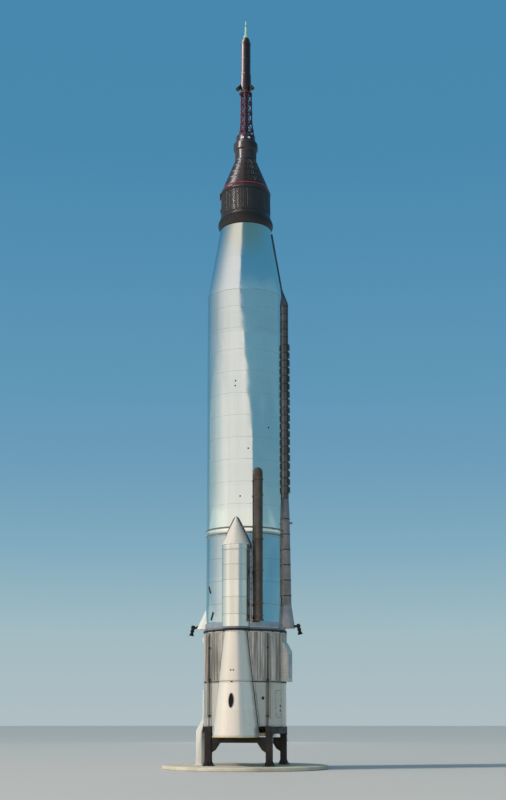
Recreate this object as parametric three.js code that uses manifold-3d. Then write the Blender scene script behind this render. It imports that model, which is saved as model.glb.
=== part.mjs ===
// A space rocket on its display stand: a thin-walled steel tank rocket with two booster nacelles,
// a manned capsule and an escape tower, held up by a steel stand on a round concrete plinth.
// Millimetres, +Z up. The origin is on the rocket's axis, at the underside of the plinth.
// The nacelles face -Y (front) and +Y (rear), and the equipment pod is on the +X side.
import * as THREE from "three";
import { mergeVertices } from "three/addons/utils/BufferGeometryUtils.js";
import Module from "manifold-3d";

const wasm = await Module();
wasm.setup();

// Sizes
const GAP = 0.3; // between pieces that rest on each other
const HULL_SIDES = 60; // facets around the tanks and the skirt
const CAPSULE_SIDES = 40; // facets around the adapter and the capsule
const SMALL_SIDES = 20; // facets around pipes, pins and nozzles
const REAR = Math.PI; // turn that carries a front piece to the rear

const PLINTH = { radius: 3170, top: 140, chamfer: 25 };

const TANK_RADIUS = 1525;
const TAPER_TOP_RADIUS = 1035;
const SKIRT_RADIUS = 1580;
const SKIRT_WALL = 40;
const ADAPTER_RADIUS = 995;
const NECK_RADIUS = 430; // where the capsule's cone meets the recovery section

// Levels up the rocket
const LEVEL = {
  nacelleRim: 1200,
  skirtRim: 1600,
  skirtSeam: 3270,
  skirtTop: 5170,
  fuelTank: 5310,
  ringPair: 8865,
  oxidizerTank: 9155,
  taper: 18540,
  adapter: 21450,
  capsule: 23100,
  recovery: 24450,
  canister: 25240,
  tower: 25470,
  motor: 27420,
  nose: 29600,
  tip: 30640,
};

const NACELLE = {
  centre: 1620, // from the rocket's axis to the middle of the rounded front
  rimRadius: 850,
  topRadius: 410,
  back: 1050, // where the flat flanks end, inside the skirt
  wall: 30,
  bayTop: 3950, // the skirt's wall is cut away behind the nacelle up to here
};
const UPPER_NACELLE = { centre: 1550, radius: 530, collar: 8190, cone: 8420, tip: 9550, collarProud: 8 };

const POST = { side: 230, plate: 400, plateThick: 30 };
// The posts of the two side frames, front and then rear
const POSTS = {
  left: [[-1106, -1320], [-1820, 1200]],
  right: [[1220, -1320], [1260, 1200]],
};
const HEAD_BEAM = { bottom: 1330, side: 250, notch: 1600 };
const CROSS_TIE = { bottom: 1000, top: 1180, depth: 150, haunchWide: 330, haunchDeep: 360 };
const COLUMN = { x: 1785, wide: 230, depth: 420, kneeLow: 1400, kneeHigh: 1900, top: 3000, strap: 60 };

const SUSTAINER_HOLE = 300;
const BULKHEAD = { rim: 1500, apexRadius: 320, apex: 4300, coneRadius: 770, coneLevel: 4550, rimDeep: 60 };
const MOUNT = { foot: 200, neck: 280 };

const GIMBAL = { level: 3200, half: 80, earNear: 90, earFar: 140, earHalf: 60, pin: 28, pinHole: 28.6 };
const ENGINE = {
  exitLevel: 1330,
  exitRadius: 540,
  throatLevel: 2520,
  throatRadius: 130,
  chamberRadius: 190,
  headLevel: 3040,
  wall: 22,
};
const THRUST = { bottom: 3440, top: 3640, railX: 340, railWide: 100, outriggerY: 620 };

const PIPE = { angle: 29.7, centre: 1735, radius: 160, elbow: 11190, bandRadius: 180, bandHigh: 60 };
const PIPE_BANDS = [5700, 6160, 7410, 8600, 10300, 10900];

const VERNIER = { x: 2100, level: 5420, exitLevel: 5100, pin: 22, pinHole: 22.6, exitRadius: 100, cant: 12 };

// Half-widths and outer reaches, level by level
const POD_ROWS = [
  { level: 6230, radius: 160, outer: 1825 },
  { level: 9730, radius: 160, outer: 1765 },
  { level: 10400, radius: 95, outer: 1735 },
];
const TUNNEL_ROWS = [
  { level: 10400 + GAP, radius: 95, outer: 1735 },
  { level: 18300, radius: 95, outer: 1735 },
  { level: 18900, radius: 90, outer: 1510 },
  { level: 21250, radius: 80, outer: 1115 },
];
const VERNIER_FAIRING_ROWS = {
  left: [{ level: 5340, radius: 300, outer: 1950 }, { level: 6200, radius: 60, outer: 1535 }],
  right: [{ level: 5340, radius: 300, outer: 1960 }, { level: 6230 - GAP, radius: 160, outer: 1825 }],
};
const SIDE_FAIRING = { half: 420, corner: 40, levels: [3300, 4470, 4800], outers: [1775, 1775, 1600] };
const LATCH_COVER = { half: 100, corner: 15, levels: [4700, 4850, 5030], outers: [1605, 1690, 1690] };

const RING = { foot: 1575, proud: 1605, head: 1560, low: 30, high: 90 };
const RING_LOBE = { centre: 1585, back: 1000, foot: 450, proud: 525, head: 505 };
const TANK_BASE = { radius: 1550, high: 200, blend: 15 };
const STIFFENER = { proud: 28, high: 60 };

const ADAPTER_FLANGE = { foot: 1045, proud: 1100, low: 150, high: 300, end: 580 };
const BLISTERS = [[22820, 23040, 130, 1050], [22250, 22400, 80, 1030]];
const BLISTER_TURN = -77;
// The ring's seat near the foot of the capsule's cone, its heights above the foot
const CAPSULE = { base: 945, seat: 915, shoulder: 925, ringLow: 70, ringHigh: 118, ringProud: 940 };
const CANISTER = { foot: 412, head: 380 };
const TOWER = { legs: 3, turn: 3, baseRadius: 366, waistRadius: 262, waist: 0.36, topRadius: 235 };
const TOWER_BARS = { leg: 26, brace: 16, core: 70 };
const TOWER_BAYS = [0, 0.18, 0.36, 0.57, 0.79, 1];
const NOZZLE = { turn: 63, throat: [170, 27790], exit: [365, 27520], throatRadius: 45, exitRadius: 88 };

// Finishes: colour, roughness, metalness
const FINISH = {
  concrete: [0xd9d2c0, 0.9, 0],
  steelSkin: [0xc9cfcc, 0.32, 0.9],
  nacelleSkin: [0xd6d3c6, 0.4, 0.8],
  darkSteel: [0x2c2522, 0.7, 0.3],
  whitePaint: [0xe6e2d6, 0.5, 0],
  pipeBrown: [0x4a3a2e, 0.55, 0.4],
  podGrey: [0x4d565c, 0.55, 0.4],
  capsuleBlack: [0x2a2626, 0.45, 0.5],
  ringRed: [0xb03a3c, 0.5, 0],
  towerMaroon: [0x4a2a2a, 0.5, 0.2],
  paleGreen: [0xb9d6c4, 0.5, 0],
  engineMetal: [0x6d6a66, 0.4, 0.8],
  vernierBlack: [0x1d1c1d, 0.6, 0.3],
};

// Shapes

function asSolid(geometry) {
  const bare = geometry.clone();
  bare.deleteAttribute("normal");
  bare.deleteAttribute("uv");
  const merged = mergeVertices(bare, 1e-3);
  const corners = merged.index.array;
  const kept = [];
  for (let i = 0; i < corners.length; i += 3) {
    const [a, b, c] = [corners[i], corners[i + 1], corners[i + 2]];
    if (a !== b && b !== c && c !== a) kept.push(a, b, c);
  }
  return new wasm.Manifold(
    new wasm.Mesh({
      numProp: 3,
      vertProperties: merged.attributes.position.array,
      triVerts: new Uint32Array(kept),
    }),
  );
}

function asGeometry(body) {
  const mesh = body.getMesh();
  const geometry = new THREE.BufferGeometry();
  geometry.setAttribute("position", new THREE.BufferAttribute(mesh.vertProperties, 3));
  geometry.setIndex(new THREE.BufferAttribute(mesh.triVerts, 1));
  geometry.computeVertexNormals();
  return geometry;
}

const joined = (...parts) => asGeometry(parts.map(asSolid).reduce((whole, next) => whole.add(next)));
const cut = (body, ...tools) =>
  asGeometry(tools.map(asSolid).reduce((left, tool) => left.subtract(tool), asSolid(body)));
const common = (first, second) => asGeometry(asSolid(first).intersect(asSolid(second)));

// A profile of [radius, height] points, listed upwards on the outside, turned about the Z axis.
function turned(profile, sides = HULL_SIDES) {
  const points = profile.map(([radius, height]) => new THREE.Vector2(radius, height));
  return asGeometry(asSolid(new THREE.LatheGeometry(points, sides).rotateX(Math.PI / 2)));
}

const disc = (radius, low, high, sides = HULL_SIDES) =>
  turned([[0, low], [radius, low], [radius, high], [0, high]], sides);

const tube = (inner, outer, low, high, sides = HULL_SIDES) =>
  turned([[inner, low], [outer, low], [outer, high], [inner, high], [inner, low]], sides);

function box([x0, x1], [y0, y1], [z0, z1]) {
  const block = new THREE.BoxGeometry(x1 - x0, y1 - y0, z1 - z0);
  return block.translate((x0 + x1) / 2, (y0 + y1) / 2, (z0 + z1) / 2);
}

// A round rod between two points, which may narrow towards its second end.
function rod(from, to, radius, sides = SMALL_SIDES, endRadius = radius) {
  const start = new THREE.Vector3(...from);
  const run = new THREE.Vector3(...to).sub(start);
  const upright = new THREE.Vector3(0, 1, 0);
  const turn = new THREE.Quaternion().setFromUnitVectors(upright, run.clone().normalize());
  return new THREE.CylinderGeometry(endRadius, radius, run.length(), sides)
    .applyQuaternion(turn)
    .translate(...start.addScaledVector(run, 0.5));
}

// A solid through level outlines, each convex, anticlockwise from above and with equally many points.
function lofted(rows) {
  const count = rows[0].outline.length;
  const positions = rows.flatMap(({ level, outline }) => outline.flatMap(([x, y]) => [x, y, level]));
  const faces = [];
  for (let row = 0; row + 1 < rows.length; row += 1) {
    for (let i = 0; i < count; i += 1) {
      const next = (i + 1) % count;
      const [a, b] = [row * count + i, row * count + next];
      faces.push(a, b, b + count, a, b + count, a + count);
    }
  }
  const top = (rows.length - 1) * count;
  for (let i = 1; i + 1 < count; i += 1) {
    faces.push(0, i + 1, i, top, top + i, top + i + 1);
  }
  const geometry = new THREE.BufferGeometry();
  geometry.setAttribute("position", new THREE.Float32BufferAttribute(positions, 3));
  return geometry.setIndex(faces);
}

// The plan of a fairing: a round front towards -Y, with flat flanks that run back to y = -back.
function fairingPlan(radius, centre, back, arcSteps = 16) {
  const outline = [];
  for (let i = 0; i <= arcSteps; i += 1) {
    const angle = Math.PI * (1 + i / arcSteps);
    outline.push([radius * Math.cos(angle), radius * Math.sin(angle) - centre]);
  }
  return [...outline, [radius, -back], [-radius, -back]];
}

// A flat cover on the +X side, with small corners and an outer face that may slant in.
function coverShape({ half, corner, levels, outers }) {
  const inner = TANK_RADIUS - 400;
  const rows = levels.map((level, row) => {
    const reach = outers[row];
    const outline = [
      [inner, -half],
      [reach - corner, -half],
      [reach, corner - half],
      [reach, half - corner],
      [reach - corner, half],
      [inner, half],
    ];
    return { level, outline };
  });
  return lofted(rows);
}

const degrees = (angle) => (angle * Math.PI) / 180;

// Model

const rocket = new THREE.Group();

function add(name, geometry, finish, parent = rocket) {
  const [color, roughness, metalness] = FINISH[finish];
  const mesh = new THREE.Mesh(geometry, new THREE.MeshStandardMaterial({ color, roughness, metalness }));
  mesh.name = name;
  parent.add(mesh);
  return mesh;
}

// The group in which a piece that is drawn towards -Y stands at the front, rear, left or right.
function facing(turn) {
  const group = new THREE.Group();
  group.rotation.z = turn;
  rocket.add(group);
  return group;
}
const SIDES = { front: facing(0), rear: facing(REAR) };

// Plinth and stand

function addStand() {
  const { radius, top, chamfer } = PLINTH;
  const slab = [[0, 0], [radius, 0], [radius, top - chamfer], [radius - chamfer, top], [0, top]];
  add("plinth", turned(slab), "concrete");

  const floor = top + GAP;
  const half = POST.side / 2;
  const beamTop = LEVEL.skirtRim - GAP;
  const notchReach = COLUMN.depth / 2 + 5;
  const notchLevels = [HEAD_BEAM.bottom - 10, LEVEL.skirtRim];
  const notch = box([-2 * HEAD_BEAM.notch, -HEAD_BEAM.notch], [-notchReach, notchReach], notchLevels);
  for (const [name, feet] of Object.entries(POSTS)) {
    const posts = feet.flatMap(([x, y]) => {
      const square = (reach, low, high) => box([x - reach, x + reach], [y - reach, y + reach], [low, high]);
      return [square(half, floor, beamTop), square(POST.plate / 2, floor, floor + POST.plateThick)];
    });
    const reach = HEAD_BEAM.side / 2;
    const [[frontX, frontY], [rearX, rearY]] = feet;
    const plan = [
      [frontX - reach, frontY - half],
      [frontX + reach, frontY - half],
      [rearX + reach, rearY + half],
      [rearX - reach, rearY + half],
    ];
    const beam = lofted([HEAD_BEAM.bottom, beamTop].map((level) => ({ level, outline: plan })));
    add(`stand_side_${name}`, cut(joined(...posts, beam), notch), "darkSteel");
  }

  for (const [index, name] of ["front", "rear"].entries()) {
    const [leftX, y] = POSTS.left[index];
    const [rightX] = POSTS.right[index];
    const start = leftX + half + GAP;
    const end = rightX - half - GAP;
    const { bottom, top: tieTop, depth, haunchWide, haunchDeep } = CROSS_TIE;
    const face = new THREE.Shape([
      new THREE.Vector2(start, bottom - haunchDeep),
      new THREE.Vector2(start + haunchWide * 0.45, bottom - haunchDeep * 0.75),
      new THREE.Vector2(start + haunchWide, bottom),
      new THREE.Vector2(end - haunchWide, bottom),
      new THREE.Vector2(end - haunchWide * 0.45, bottom - haunchDeep * 0.75),
      new THREE.Vector2(end, bottom - haunchDeep),
      new THREE.Vector2(end, tieTop),
      new THREE.Vector2(start, tieTop),
    ]);
    const tie = new THREE.ExtrudeGeometry(face, { depth, bevelEnabled: false })
      .rotateX(Math.PI / 2)
      .translate(0, y + depth / 2, 0);
    add(`stand_cross_tie_${name}`, tie, "darkSteel");
  }

  const outer = -COLUMN.x - COLUMN.wide / 2;
  const inner = -COLUMN.x + COLUMN.wide / 2;
  const skin = -SKIRT_RADIUS - 1;
  const face = new THREE.Shape(
    [
      [outer, floor],
      [inner, floor],
      [inner, COLUMN.kneeLow],
      [skin, COLUMN.kneeHigh - 180],
      [skin, COLUMN.top],
      [skin - COLUMN.strap, COLUMN.top],
      [skin - COLUMN.strap, COLUMN.kneeHigh],
      [outer, COLUMN.kneeLow + 40],
    ].map(([x, z]) => new THREE.Vector2(x, z)),
  );
  const column = new THREE.ExtrudeGeometry(face, { depth: COLUMN.depth, bevelEnabled: false })
    .rotateX(Math.PI / 2)
    .translate(0, COLUMN.depth / 2, 0);
  add("side_column", column, "whitePaint");
}

// Booster section: skirt, nacelles and what they hold

function nacelleRows(low, high, inset) {
  const { rimRadius, topRadius, centre, back } = NACELLE;
  const radiusAt = (level) => {
    const share = (level - LEVEL.nacelleRim) / (LEVEL.skirtTop - LEVEL.nacelleRim);
    return rimRadius + (topRadius - rimRadius) * share - inset;
  };
  const plan = (level) => fairingPlan(radiusAt(level), centre, back - inset);
  return [low, high].map((level) => ({ level, outline: plan(level) }));
}

function addBoosterSection() {
  const { skirtRim, skirtSeam, skirtTop, nacelleRim } = LEVEL;
  const { wall, bayTop } = NACELLE;
  const margin = 100;
  const hollow = lofted(nacelleRows(nacelleRim - margin, skirtTop, wall));
  const bays = [hollow, hollow.clone().rotateZ(REAR)];
  const wallInside = SKIRT_RADIUS - SKIRT_WALL;
  const lowerSkirt = cut(tube(wallInside, SKIRT_RADIUS, skirtRim, skirtSeam - GAP), ...bays);
  const halfSpace = SKIRT_RADIUS + margin;
  const sideSpan = { left: [-halfSpace, 0], right: [0, halfSpace] };
  for (const [name, span] of Object.entries(sideSpan)) {
    const side = box(span, [-halfSpace, halfSpace], [0, skirtTop]);
    add(`skirt_side_${name}`, common(lowerSkirt, side), "steelSkin");
  }
  const bayRows = nacelleRows(skirtSeam - margin, bayTop, wall);
  const upperBays = [lofted(bayRows), lofted(bayRows).rotateZ(REAR)];
  const upper = tube(wallInside, SKIRT_RADIUS, skirtSeam, skirtTop);
  const inside = disc(SKIRT_RADIUS - SKIRT_WALL / 2, skirtSeam, skirtTop);
  const latchCover = cut(coverShape(LATCH_COVER).rotateZ(Math.PI), inside);
  add("skirt_upper", cut(joined(upper, latchCover), ...upperBays), "steelSkin");

  const skirtCore = disc(SKIRT_RADIUS + GAP, 0, skirtTop + margin);
  const lower = cut(lofted(nacelleRows(nacelleRim, skirtSeam - GAP, 0)), hollow, skirtCore);
  const middleHollow = lofted(nacelleRows(skirtSeam - margin, skirtTop - wall, wall));
  const middle = cut(lofted(nacelleRows(skirtSeam, skirtTop, 0)), middleHollow, skirtCore);

  const { centre, radius, collar, cone, tip, collarProud } = UPPER_NACELLE;
  const bodyProfile = [
    [0, LEVEL.fuelTank],
    [radius, LEVEL.fuelTank],
    [radius, collar],
    [radius + collarProud, collar],
    [radius + collarProud, cone],
    [0, tip],
  ];
  const tankCore = disc(TANK_RADIUS + GAP, skirtTop, LEVEL.taper);
  const upperBody = cut(turned(bodyProfile, 32).translate(0, -centre, 0), tankCore);
  for (const name of ["front", "rear"]) {
    add(`nacelle_lower_${name}`, lower, "nacelleSkin", SIDES[name]);
    add(`nacelle_middle_${name}`, middle, "nacelleSkin", SIDES[name]);
    add(`nacelle_upper_${name}`, upperBody, "nacelleSkin", SIDES[name]);
  }
}

// Thrust frame, engines and gimbals

// Two ears with a pin hole: across is the direction from ear to ear, "x" or "y".
function ears(across, low, high) {
  const { earNear, earFar, earHalf, level, pinHole } = GIMBAL;
  const pair = [-1, 1].map((side) => {
    const span = side < 0 ? [-earFar, -earNear] : [earNear, earFar];
    const flat = [-earHalf, earHalf];
    return across === "x" ? box(span, flat, [low, high]) : box(flat, span, [low, high]);
  });
  const ends = across === "x" ? [[-earFar - 10, 0, level], [earFar + 10, 0, level]]
    : [[0, -earFar - 10, level], [0, earFar + 10, level]];
  return { pair, hole: rod(...ends, pinHole) };
}

function addThrustFrame() {
  const { bottom, top, railX, railWide, outriggerY } = THRUST;
  const reach = NACELLE.centre;
  const rails = [-1, 1].map((side) => {
    const x = side * (railX + railWide / 2);
    return box([x - railWide / 2, x + railWide / 2], [-reach, reach], [bottom, top]);
  });
  const inside = disc(SKIRT_RADIUS - SKIRT_WALL - GAP, bottom - 10, top + 10);
  const outriggers = [-outriggerY, outriggerY].map((y) =>
    common(box([-SKIRT_RADIUS, SKIRT_RADIUS], [y - 60, y + 60], [bottom + 40, top - 40]), inside),
  );
  const hub = disc(SUSTAINER_HOLE, bottom, top, SMALL_SIDES);
  const ends = [-1, 1].map((side) => {
    const y = side * reach;
    return box([-railX - railWide, railX + railWide], [y - 160, y + 160], [bottom, top]);
  });
  const clevis = ears("x", GIMBAL.level - 60, bottom + 10);
  const clevises = [-reach, reach].flatMap((y) => clevis.pair.map((ear) => ear.clone().translate(0, y, 0)));
  const holes = [-reach, reach].map((y) => clevis.hole.clone().translate(0, y, 0));
  const frame = joined(...rails, ...outriggers, ...ends, ...clevises);
  add("thrust_frame", cut(frame, hub, ...holes), "darkSteel");
}

function addTankEnd() {
  const { rim, rimDeep, apexRadius, apex, coneRadius, coneLevel } = BULKHEAD;
  const bulkhead = [
    [0, apex],
    [apexRadius, apex],
    [coneRadius, coneLevel],
    [rim, LEVEL.skirtTop - rimDeep],
    [rim, LEVEL.skirtTop],
    [0, LEVEL.skirtTop],
  ];
  add("aft_bulkhead", turned(bulkhead), "steelSkin");
  const low = THRUST.bottom;
  const flange = apex - 60;
  const mountProfile = [
    [0, low],
    [MOUNT.foot, low],
    [MOUNT.neck, flange],
    [apexRadius, flange],
    [apexRadius, apex - GAP],
    [0, apex - GAP],
  ];
  const mount = turned(mountProfile, SMALL_SIDES);
  const clevis = ears("x", GIMBAL.level - 60, low + 10);
  add("sustainer_mount", cut(joined(mount, ...clevis.pair), clevis.hole), "darkSteel");
}

function engineShape() {
  const { exitLevel, exitRadius, throatLevel, throatRadius, chamberRadius, headLevel, wall } = ENGINE;
  const bell = [0, 0.3, 0.6, 0.8, 1].map((share) => {
    const radius = exitRadius + (throatRadius - exitRadius) * share ** 1.35;
    return [radius, exitLevel + (throatLevel - exitLevel) * share];
  });
  const chamberLow = throatLevel + 140;
  const outer = [...bell, [chamberRadius, chamberLow], [chamberRadius, headLevel]];
  const inner = bell.map(([radius, level]) => [radius - wall, level]).reverse();
  const shell = turned([...outer, [0, headLevel], [0, chamberLow], ...inner, bell[0]], SMALL_SIDES);
  const clevis = ears("y", headLevel - 10, GIMBAL.level + 60);
  return cut(joined(shell, ...clevis.pair), clevis.hole);
}

function gimbalShape() {
  const { half, level, earFar, pin } = GIMBAL;
  const span = earFar + 6;
  const block = box([-half, half], [-half, half], [level - 50, level + 50]);
  const pins = [
    rod([-span, 0, level], [span, 0, level], pin),
    rod([0, -span, level], [0, span, level], pin),
  ];
  return joined(block, ...pins);
}

function addEngines() {
  const places = { front: -NACELLE.centre, centre: 0, rear: NACELLE.centre };
  const names = { front: "booster_engine_front", centre: "sustainer_engine", rear: "booster_engine_rear" };
  const engine = engineShape();
  const gimbal = gimbalShape();
  for (const [place, y] of Object.entries(places)) {
    add(`gimbal_block_${place}`, gimbal, "darkSteel").position.y = y;
    add(names[place], engine, "engineMetal").position.y = y;
  }
}

// Tanks

function addTanks() {
  const { skirtTop, fuelTank, ringPair, oxidizerTank, taper, adapter } = LEVEL;
  const ringLevels = [skirtTop + GAP, skirtTop + RING.low, skirtTop + RING.high, fuelTank - GAP];
  const [foot, low, high, head] = ringLevels;
  const ring = turned([
    [0, foot],
    [RING.foot, foot],
    [RING.proud, low],
    [RING.proud, high],
    [RING.head, head],
    [0, head],
  ]);
  const lobeRadii = [RING_LOBE.foot, RING_LOBE.proud, RING_LOBE.proud, RING_LOBE.head];
  const lobes = [0, REAR].map((turn) => {
    const plan = (radius) => fairingPlan(radius, RING_LOBE.centre, RING_LOBE.back);
    return lofted(ringLevels.map((level, row) => ({ level, outline: plan(lobeRadii[row]) }))).rotateZ(turn);
  });
  add("separation_ring", joined(ring, ...lobes), "darkSteel");
  const shoulder = fuelTank + TANK_BASE.high;
  const base = [
    [0, fuelTank],
    [TANK_BASE.radius, fuelTank],
    [TANK_BASE.radius, shoulder],
    [TANK_RADIUS, shoulder + TANK_BASE.blend],
    [TANK_RADIUS, ringPair - GAP],
    [0, ringPair - GAP],
  ];
  const nacelles = [REAR, 0].map((turn) =>
    disc(UPPER_NACELLE.radius + GAP, fuelTank - 10, shoulder + 100, 32)
      .translate(0, -UPPER_NACELLE.centre, 0)
      .rotateZ(turn),
  );
  const band = tube(TANK_RADIUS, TANK_BASE.radius + 50, fuelTank - 10, shoulder + 30);
  const fuel = cut(turned(base), ...nacelles.map((tool) => common(tool, band)));
  add("fuel_tank", fuel, "steelSkin");
  add("stiffening_rings", stiffeningRings(), "steelSkin");
  add("oxidizer_tank", disc(TANK_RADIUS, oxidizerTank, taper - GAP), "steelSkin");
  const taperTop = adapter - GAP;
  const taperProfile = [[0, taper], [TANK_RADIUS, taper], [TAPER_TOP_RADIUS, taperTop], [0, taperTop]];
  add("tank_taper", turned(taperProfile), "steelSkin");
}

function stiffeningRings() {
  const { ringPair: low, oxidizerTank } = LEVEL;
  const high = oxidizerTank - GAP;
  const proud = TANK_RADIUS + STIFFENER.proud;
  const [lowerTop, upperBottom] = [low + STIFFENER.high, high - STIFFENER.high];
  const rings = turned([
    [0, low],
    [proud, low],
    [proud, lowerTop],
    [TANK_RADIUS, lowerTop],
    [TANK_RADIUS, upperBottom],
    [proud, upperBottom],
    [proud, high],
    [0, high],
  ]);
  const { centre, radius, cone, tip, collarProud } = UPPER_NACELLE;
  const grown = 6;
  const reach = radius + collarProud + grown;
  const nose = turned([[0, cone - 10], [reach, cone - 10], [reach, cone], [0, tip + grown]], 32);
  const shell = tube(TANK_RADIUS, proud + 50, low - 10, high + 10);
  const tools = [0, REAR].map((turn) => common(nose.clone().translate(0, -centre, 0).rotateZ(turn), shell));
  return cut(rings, ...tools, common(podShape(POD_ROWS, grown), shell));
}

// Pod, tunnels and pipe on the outside of the tanks

// A fairing on the +X side, through rows of a half-width and the reach of its round front.
function podShape(rows, grown = 0) {
  return lofted(
    rows.map(({ level, radius, outer }) => ({
      level,
      outline: fairingPlan(radius + grown, outer - radius, 900, 8),
    })),
  ).rotateZ(Math.PI / 2);
}

function addFairings() {
  const { fuelTank, taper, adapter, skirtTop } = LEVEL;
  const tankCore = disc(TANK_RADIUS + GAP, fuelTank - 200, taper);
  const baseTop = fuelTank + TANK_BASE.high + TANK_BASE.blend;
  const ringBand = disc(TANK_BASE.radius + GAP, fuelTank - 10, baseTop + GAP);
  const taperCore = turned([[0, taper - 1], [TANK_RADIUS + GAP, taper - 1], [TANK_RADIUS + GAP, taper],
    [TAPER_TOP_RADIUS + GAP, adapter], [0, adapter]]);
  const stub = rod([1700, 0, 9440], [1875, 0, 9440], 45, 12);
  add("equipment_pod", cut(joined(podShape(POD_ROWS), stub), tankCore), "podGrey");
  add("cable_tunnel", cut(podShape(TUNNEL_ROWS), tankCore, taperCore), "podGrey");
  const skirtCore = disc(SKIRT_RADIUS + GAP, 0, skirtTop);
  add("booster_side_fairing", cut(coverShape(SIDE_FAIRING), skirtCore), "podGrey");
  for (const [name, turn] of [["right", 0], ["left", Math.PI]]) {
    const fairing = podShape(VERNIER_FAIRING_ROWS[name]);
    const { x, level, pin } = VERNIER;
    const arm = rod([1800, 0, level], [x - 90, 0, level], 45);
    const shaft = rod([x - 120, 0, level], [x + 60, 0, level], pin);
    const cap = rod([x + 58, 0, level], [x + 75, 0, level], 38);
    const body = cut(joined(fairing, arm, shaft, cap), tankCore, ringBand);
    add(`vernier_fairing_${name}`, body, name === "left" ? "whitePaint" : "podGrey").rotation.z = turn;
    add(`vernier_engine_${name}`, vernierShape(), "vernierBlack").rotation.z = turn;
  }
}

function vernierShape() {
  const { x, level, exitLevel, exitRadius, pinHole, cant } = VERNIER;
  const chamber = 75;
  const neck = 42;
  const bell = turned([
    [0, exitLevel + 60],
    [exitRadius - 14, exitLevel],
    [exitRadius, exitLevel],
    [45, exitLevel + 130],
    [chamber, exitLevel + 165],
    [chamber, level - 95],
    [neck, level - 85],
    [neck, level - 40],
    [0, level - 40],
  ], SMALL_SIDES);
  const nozzle = bell.translate(0, 0, -level).rotateY(degrees(-cant)).translate(0, 0, level);
  const head = box([-70, 52], [-80, 80], [level - 75, level + 90]);
  const body = joined(nozzle, head).translate(x, 0, 0);
  return cut(body, rod([x - 80, 0, level], [x + 80, 0, level], pinHole));
}

function addPipe() {
  const { centre, radius, elbow, bandRadius, bandHigh, angle } = PIPE;
  const low = LEVEL.fuelTank + 230;
  const run = [
    rod([0, -centre, low], [0, -centre, elbow], radius),
    new THREE.SphereGeometry(radius, SMALL_SIDES, 8).rotateX(Math.PI / 2).translate(0, -centre, elbow),
    rod([0, -centre, elbow], [0, -TANK_RADIUS + 60, elbow], radius),
  ];
  const bands = PIPE_BANDS.flatMap((level) => [
    disc(bandRadius, level, level + bandHigh, SMALL_SIDES).translate(0, -centre, 0),
    box([-60, 60], [-centre, -TANK_RADIUS + 40], [level, level + bandHigh]),
  ]);
  const turn = degrees(angle);
  const pipe = joined(...run, ...bands).rotateZ(turn);
  add("oxygen_pipe", cut(pipe, disc(TANK_RADIUS + GAP, low - 10, LEVEL.taper)), "pipeBrown");
}

// Adapter, capsule and escape tower

function addCapsule() {
  const { adapter, capsule, recovery, canister, tower } = LEVEL;
  const { foot: flangeFoot, proud, low: flangeLow, high: flangeHigh, end } = ADAPTER_FLANGE;
  const adapterProfile = [
    [0, adapter],
    [flangeFoot, adapter],
    [proud, adapter + flangeLow],
    [proud, adapter + flangeHigh],
    [ADAPTER_RADIUS, adapter + end],
    [ADAPTER_RADIUS - 8, capsule - 120],
    [ADAPTER_RADIUS + 20, capsule - 110],
    [ADAPTER_RADIUS + 20, capsule - 40],
    [ADAPTER_RADIUS - 15, capsule - GAP],
    [0, capsule - GAP],
  ];
  const blisters = BLISTERS.map(([low, high, half, reach]) =>
    box([-half, half], [-reach, -900], [low, high]).rotateZ(degrees(BLISTER_TURN)),
  );
  add("adapter", joined(turned(adapterProfile, CAPSULE_SIDES), ...blisters), "capsuleBlack");

  const { base, seat, shoulder, ringLow, ringHigh, ringProud } = CAPSULE;
  const cone = [
    [0, capsule],
    [base, capsule],
    [base, capsule + ringLow - 12],
    [seat, capsule + ringLow - 2],
    [seat, capsule + ringHigh + 2],
    [shoulder, capsule + ringHigh + 12],
    [NECK_RADIUS + 15, recovery - 40],
    [NECK_RADIUS + 15, recovery - GAP],
    [0, recovery - GAP],
  ];
  add("capsule", turned(cone, CAPSULE_SIDES), "capsuleBlack");
  const ring = tube(seat + GAP, ringProud, capsule + ringLow, capsule + ringHigh, CAPSULE_SIDES);
  add("capsule_ring", ring, "ringRed");
  const shell = 495;
  const recoveryProfile = [
    [0, recovery],
    [NECK_RADIUS, recovery],
    [NECK_RADIUS, recovery + 380],
    [shell, recovery + 450],
    [shell, recovery + 720],
    [450, canister - GAP],
    [0, canister - GAP],
  ];
  add("recovery_section", turned(recoveryProfile, CAPSULE_SIDES), "capsuleBlack");
  const { foot, head } = CANISTER;
  const canisterProfile = [[0, canister], [foot, canister], [head, tower - GAP], [0, tower - GAP]];
  add("antenna_canister", turned(canisterProfile, CAPSULE_SIDES), "capsuleBlack");
}

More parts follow.
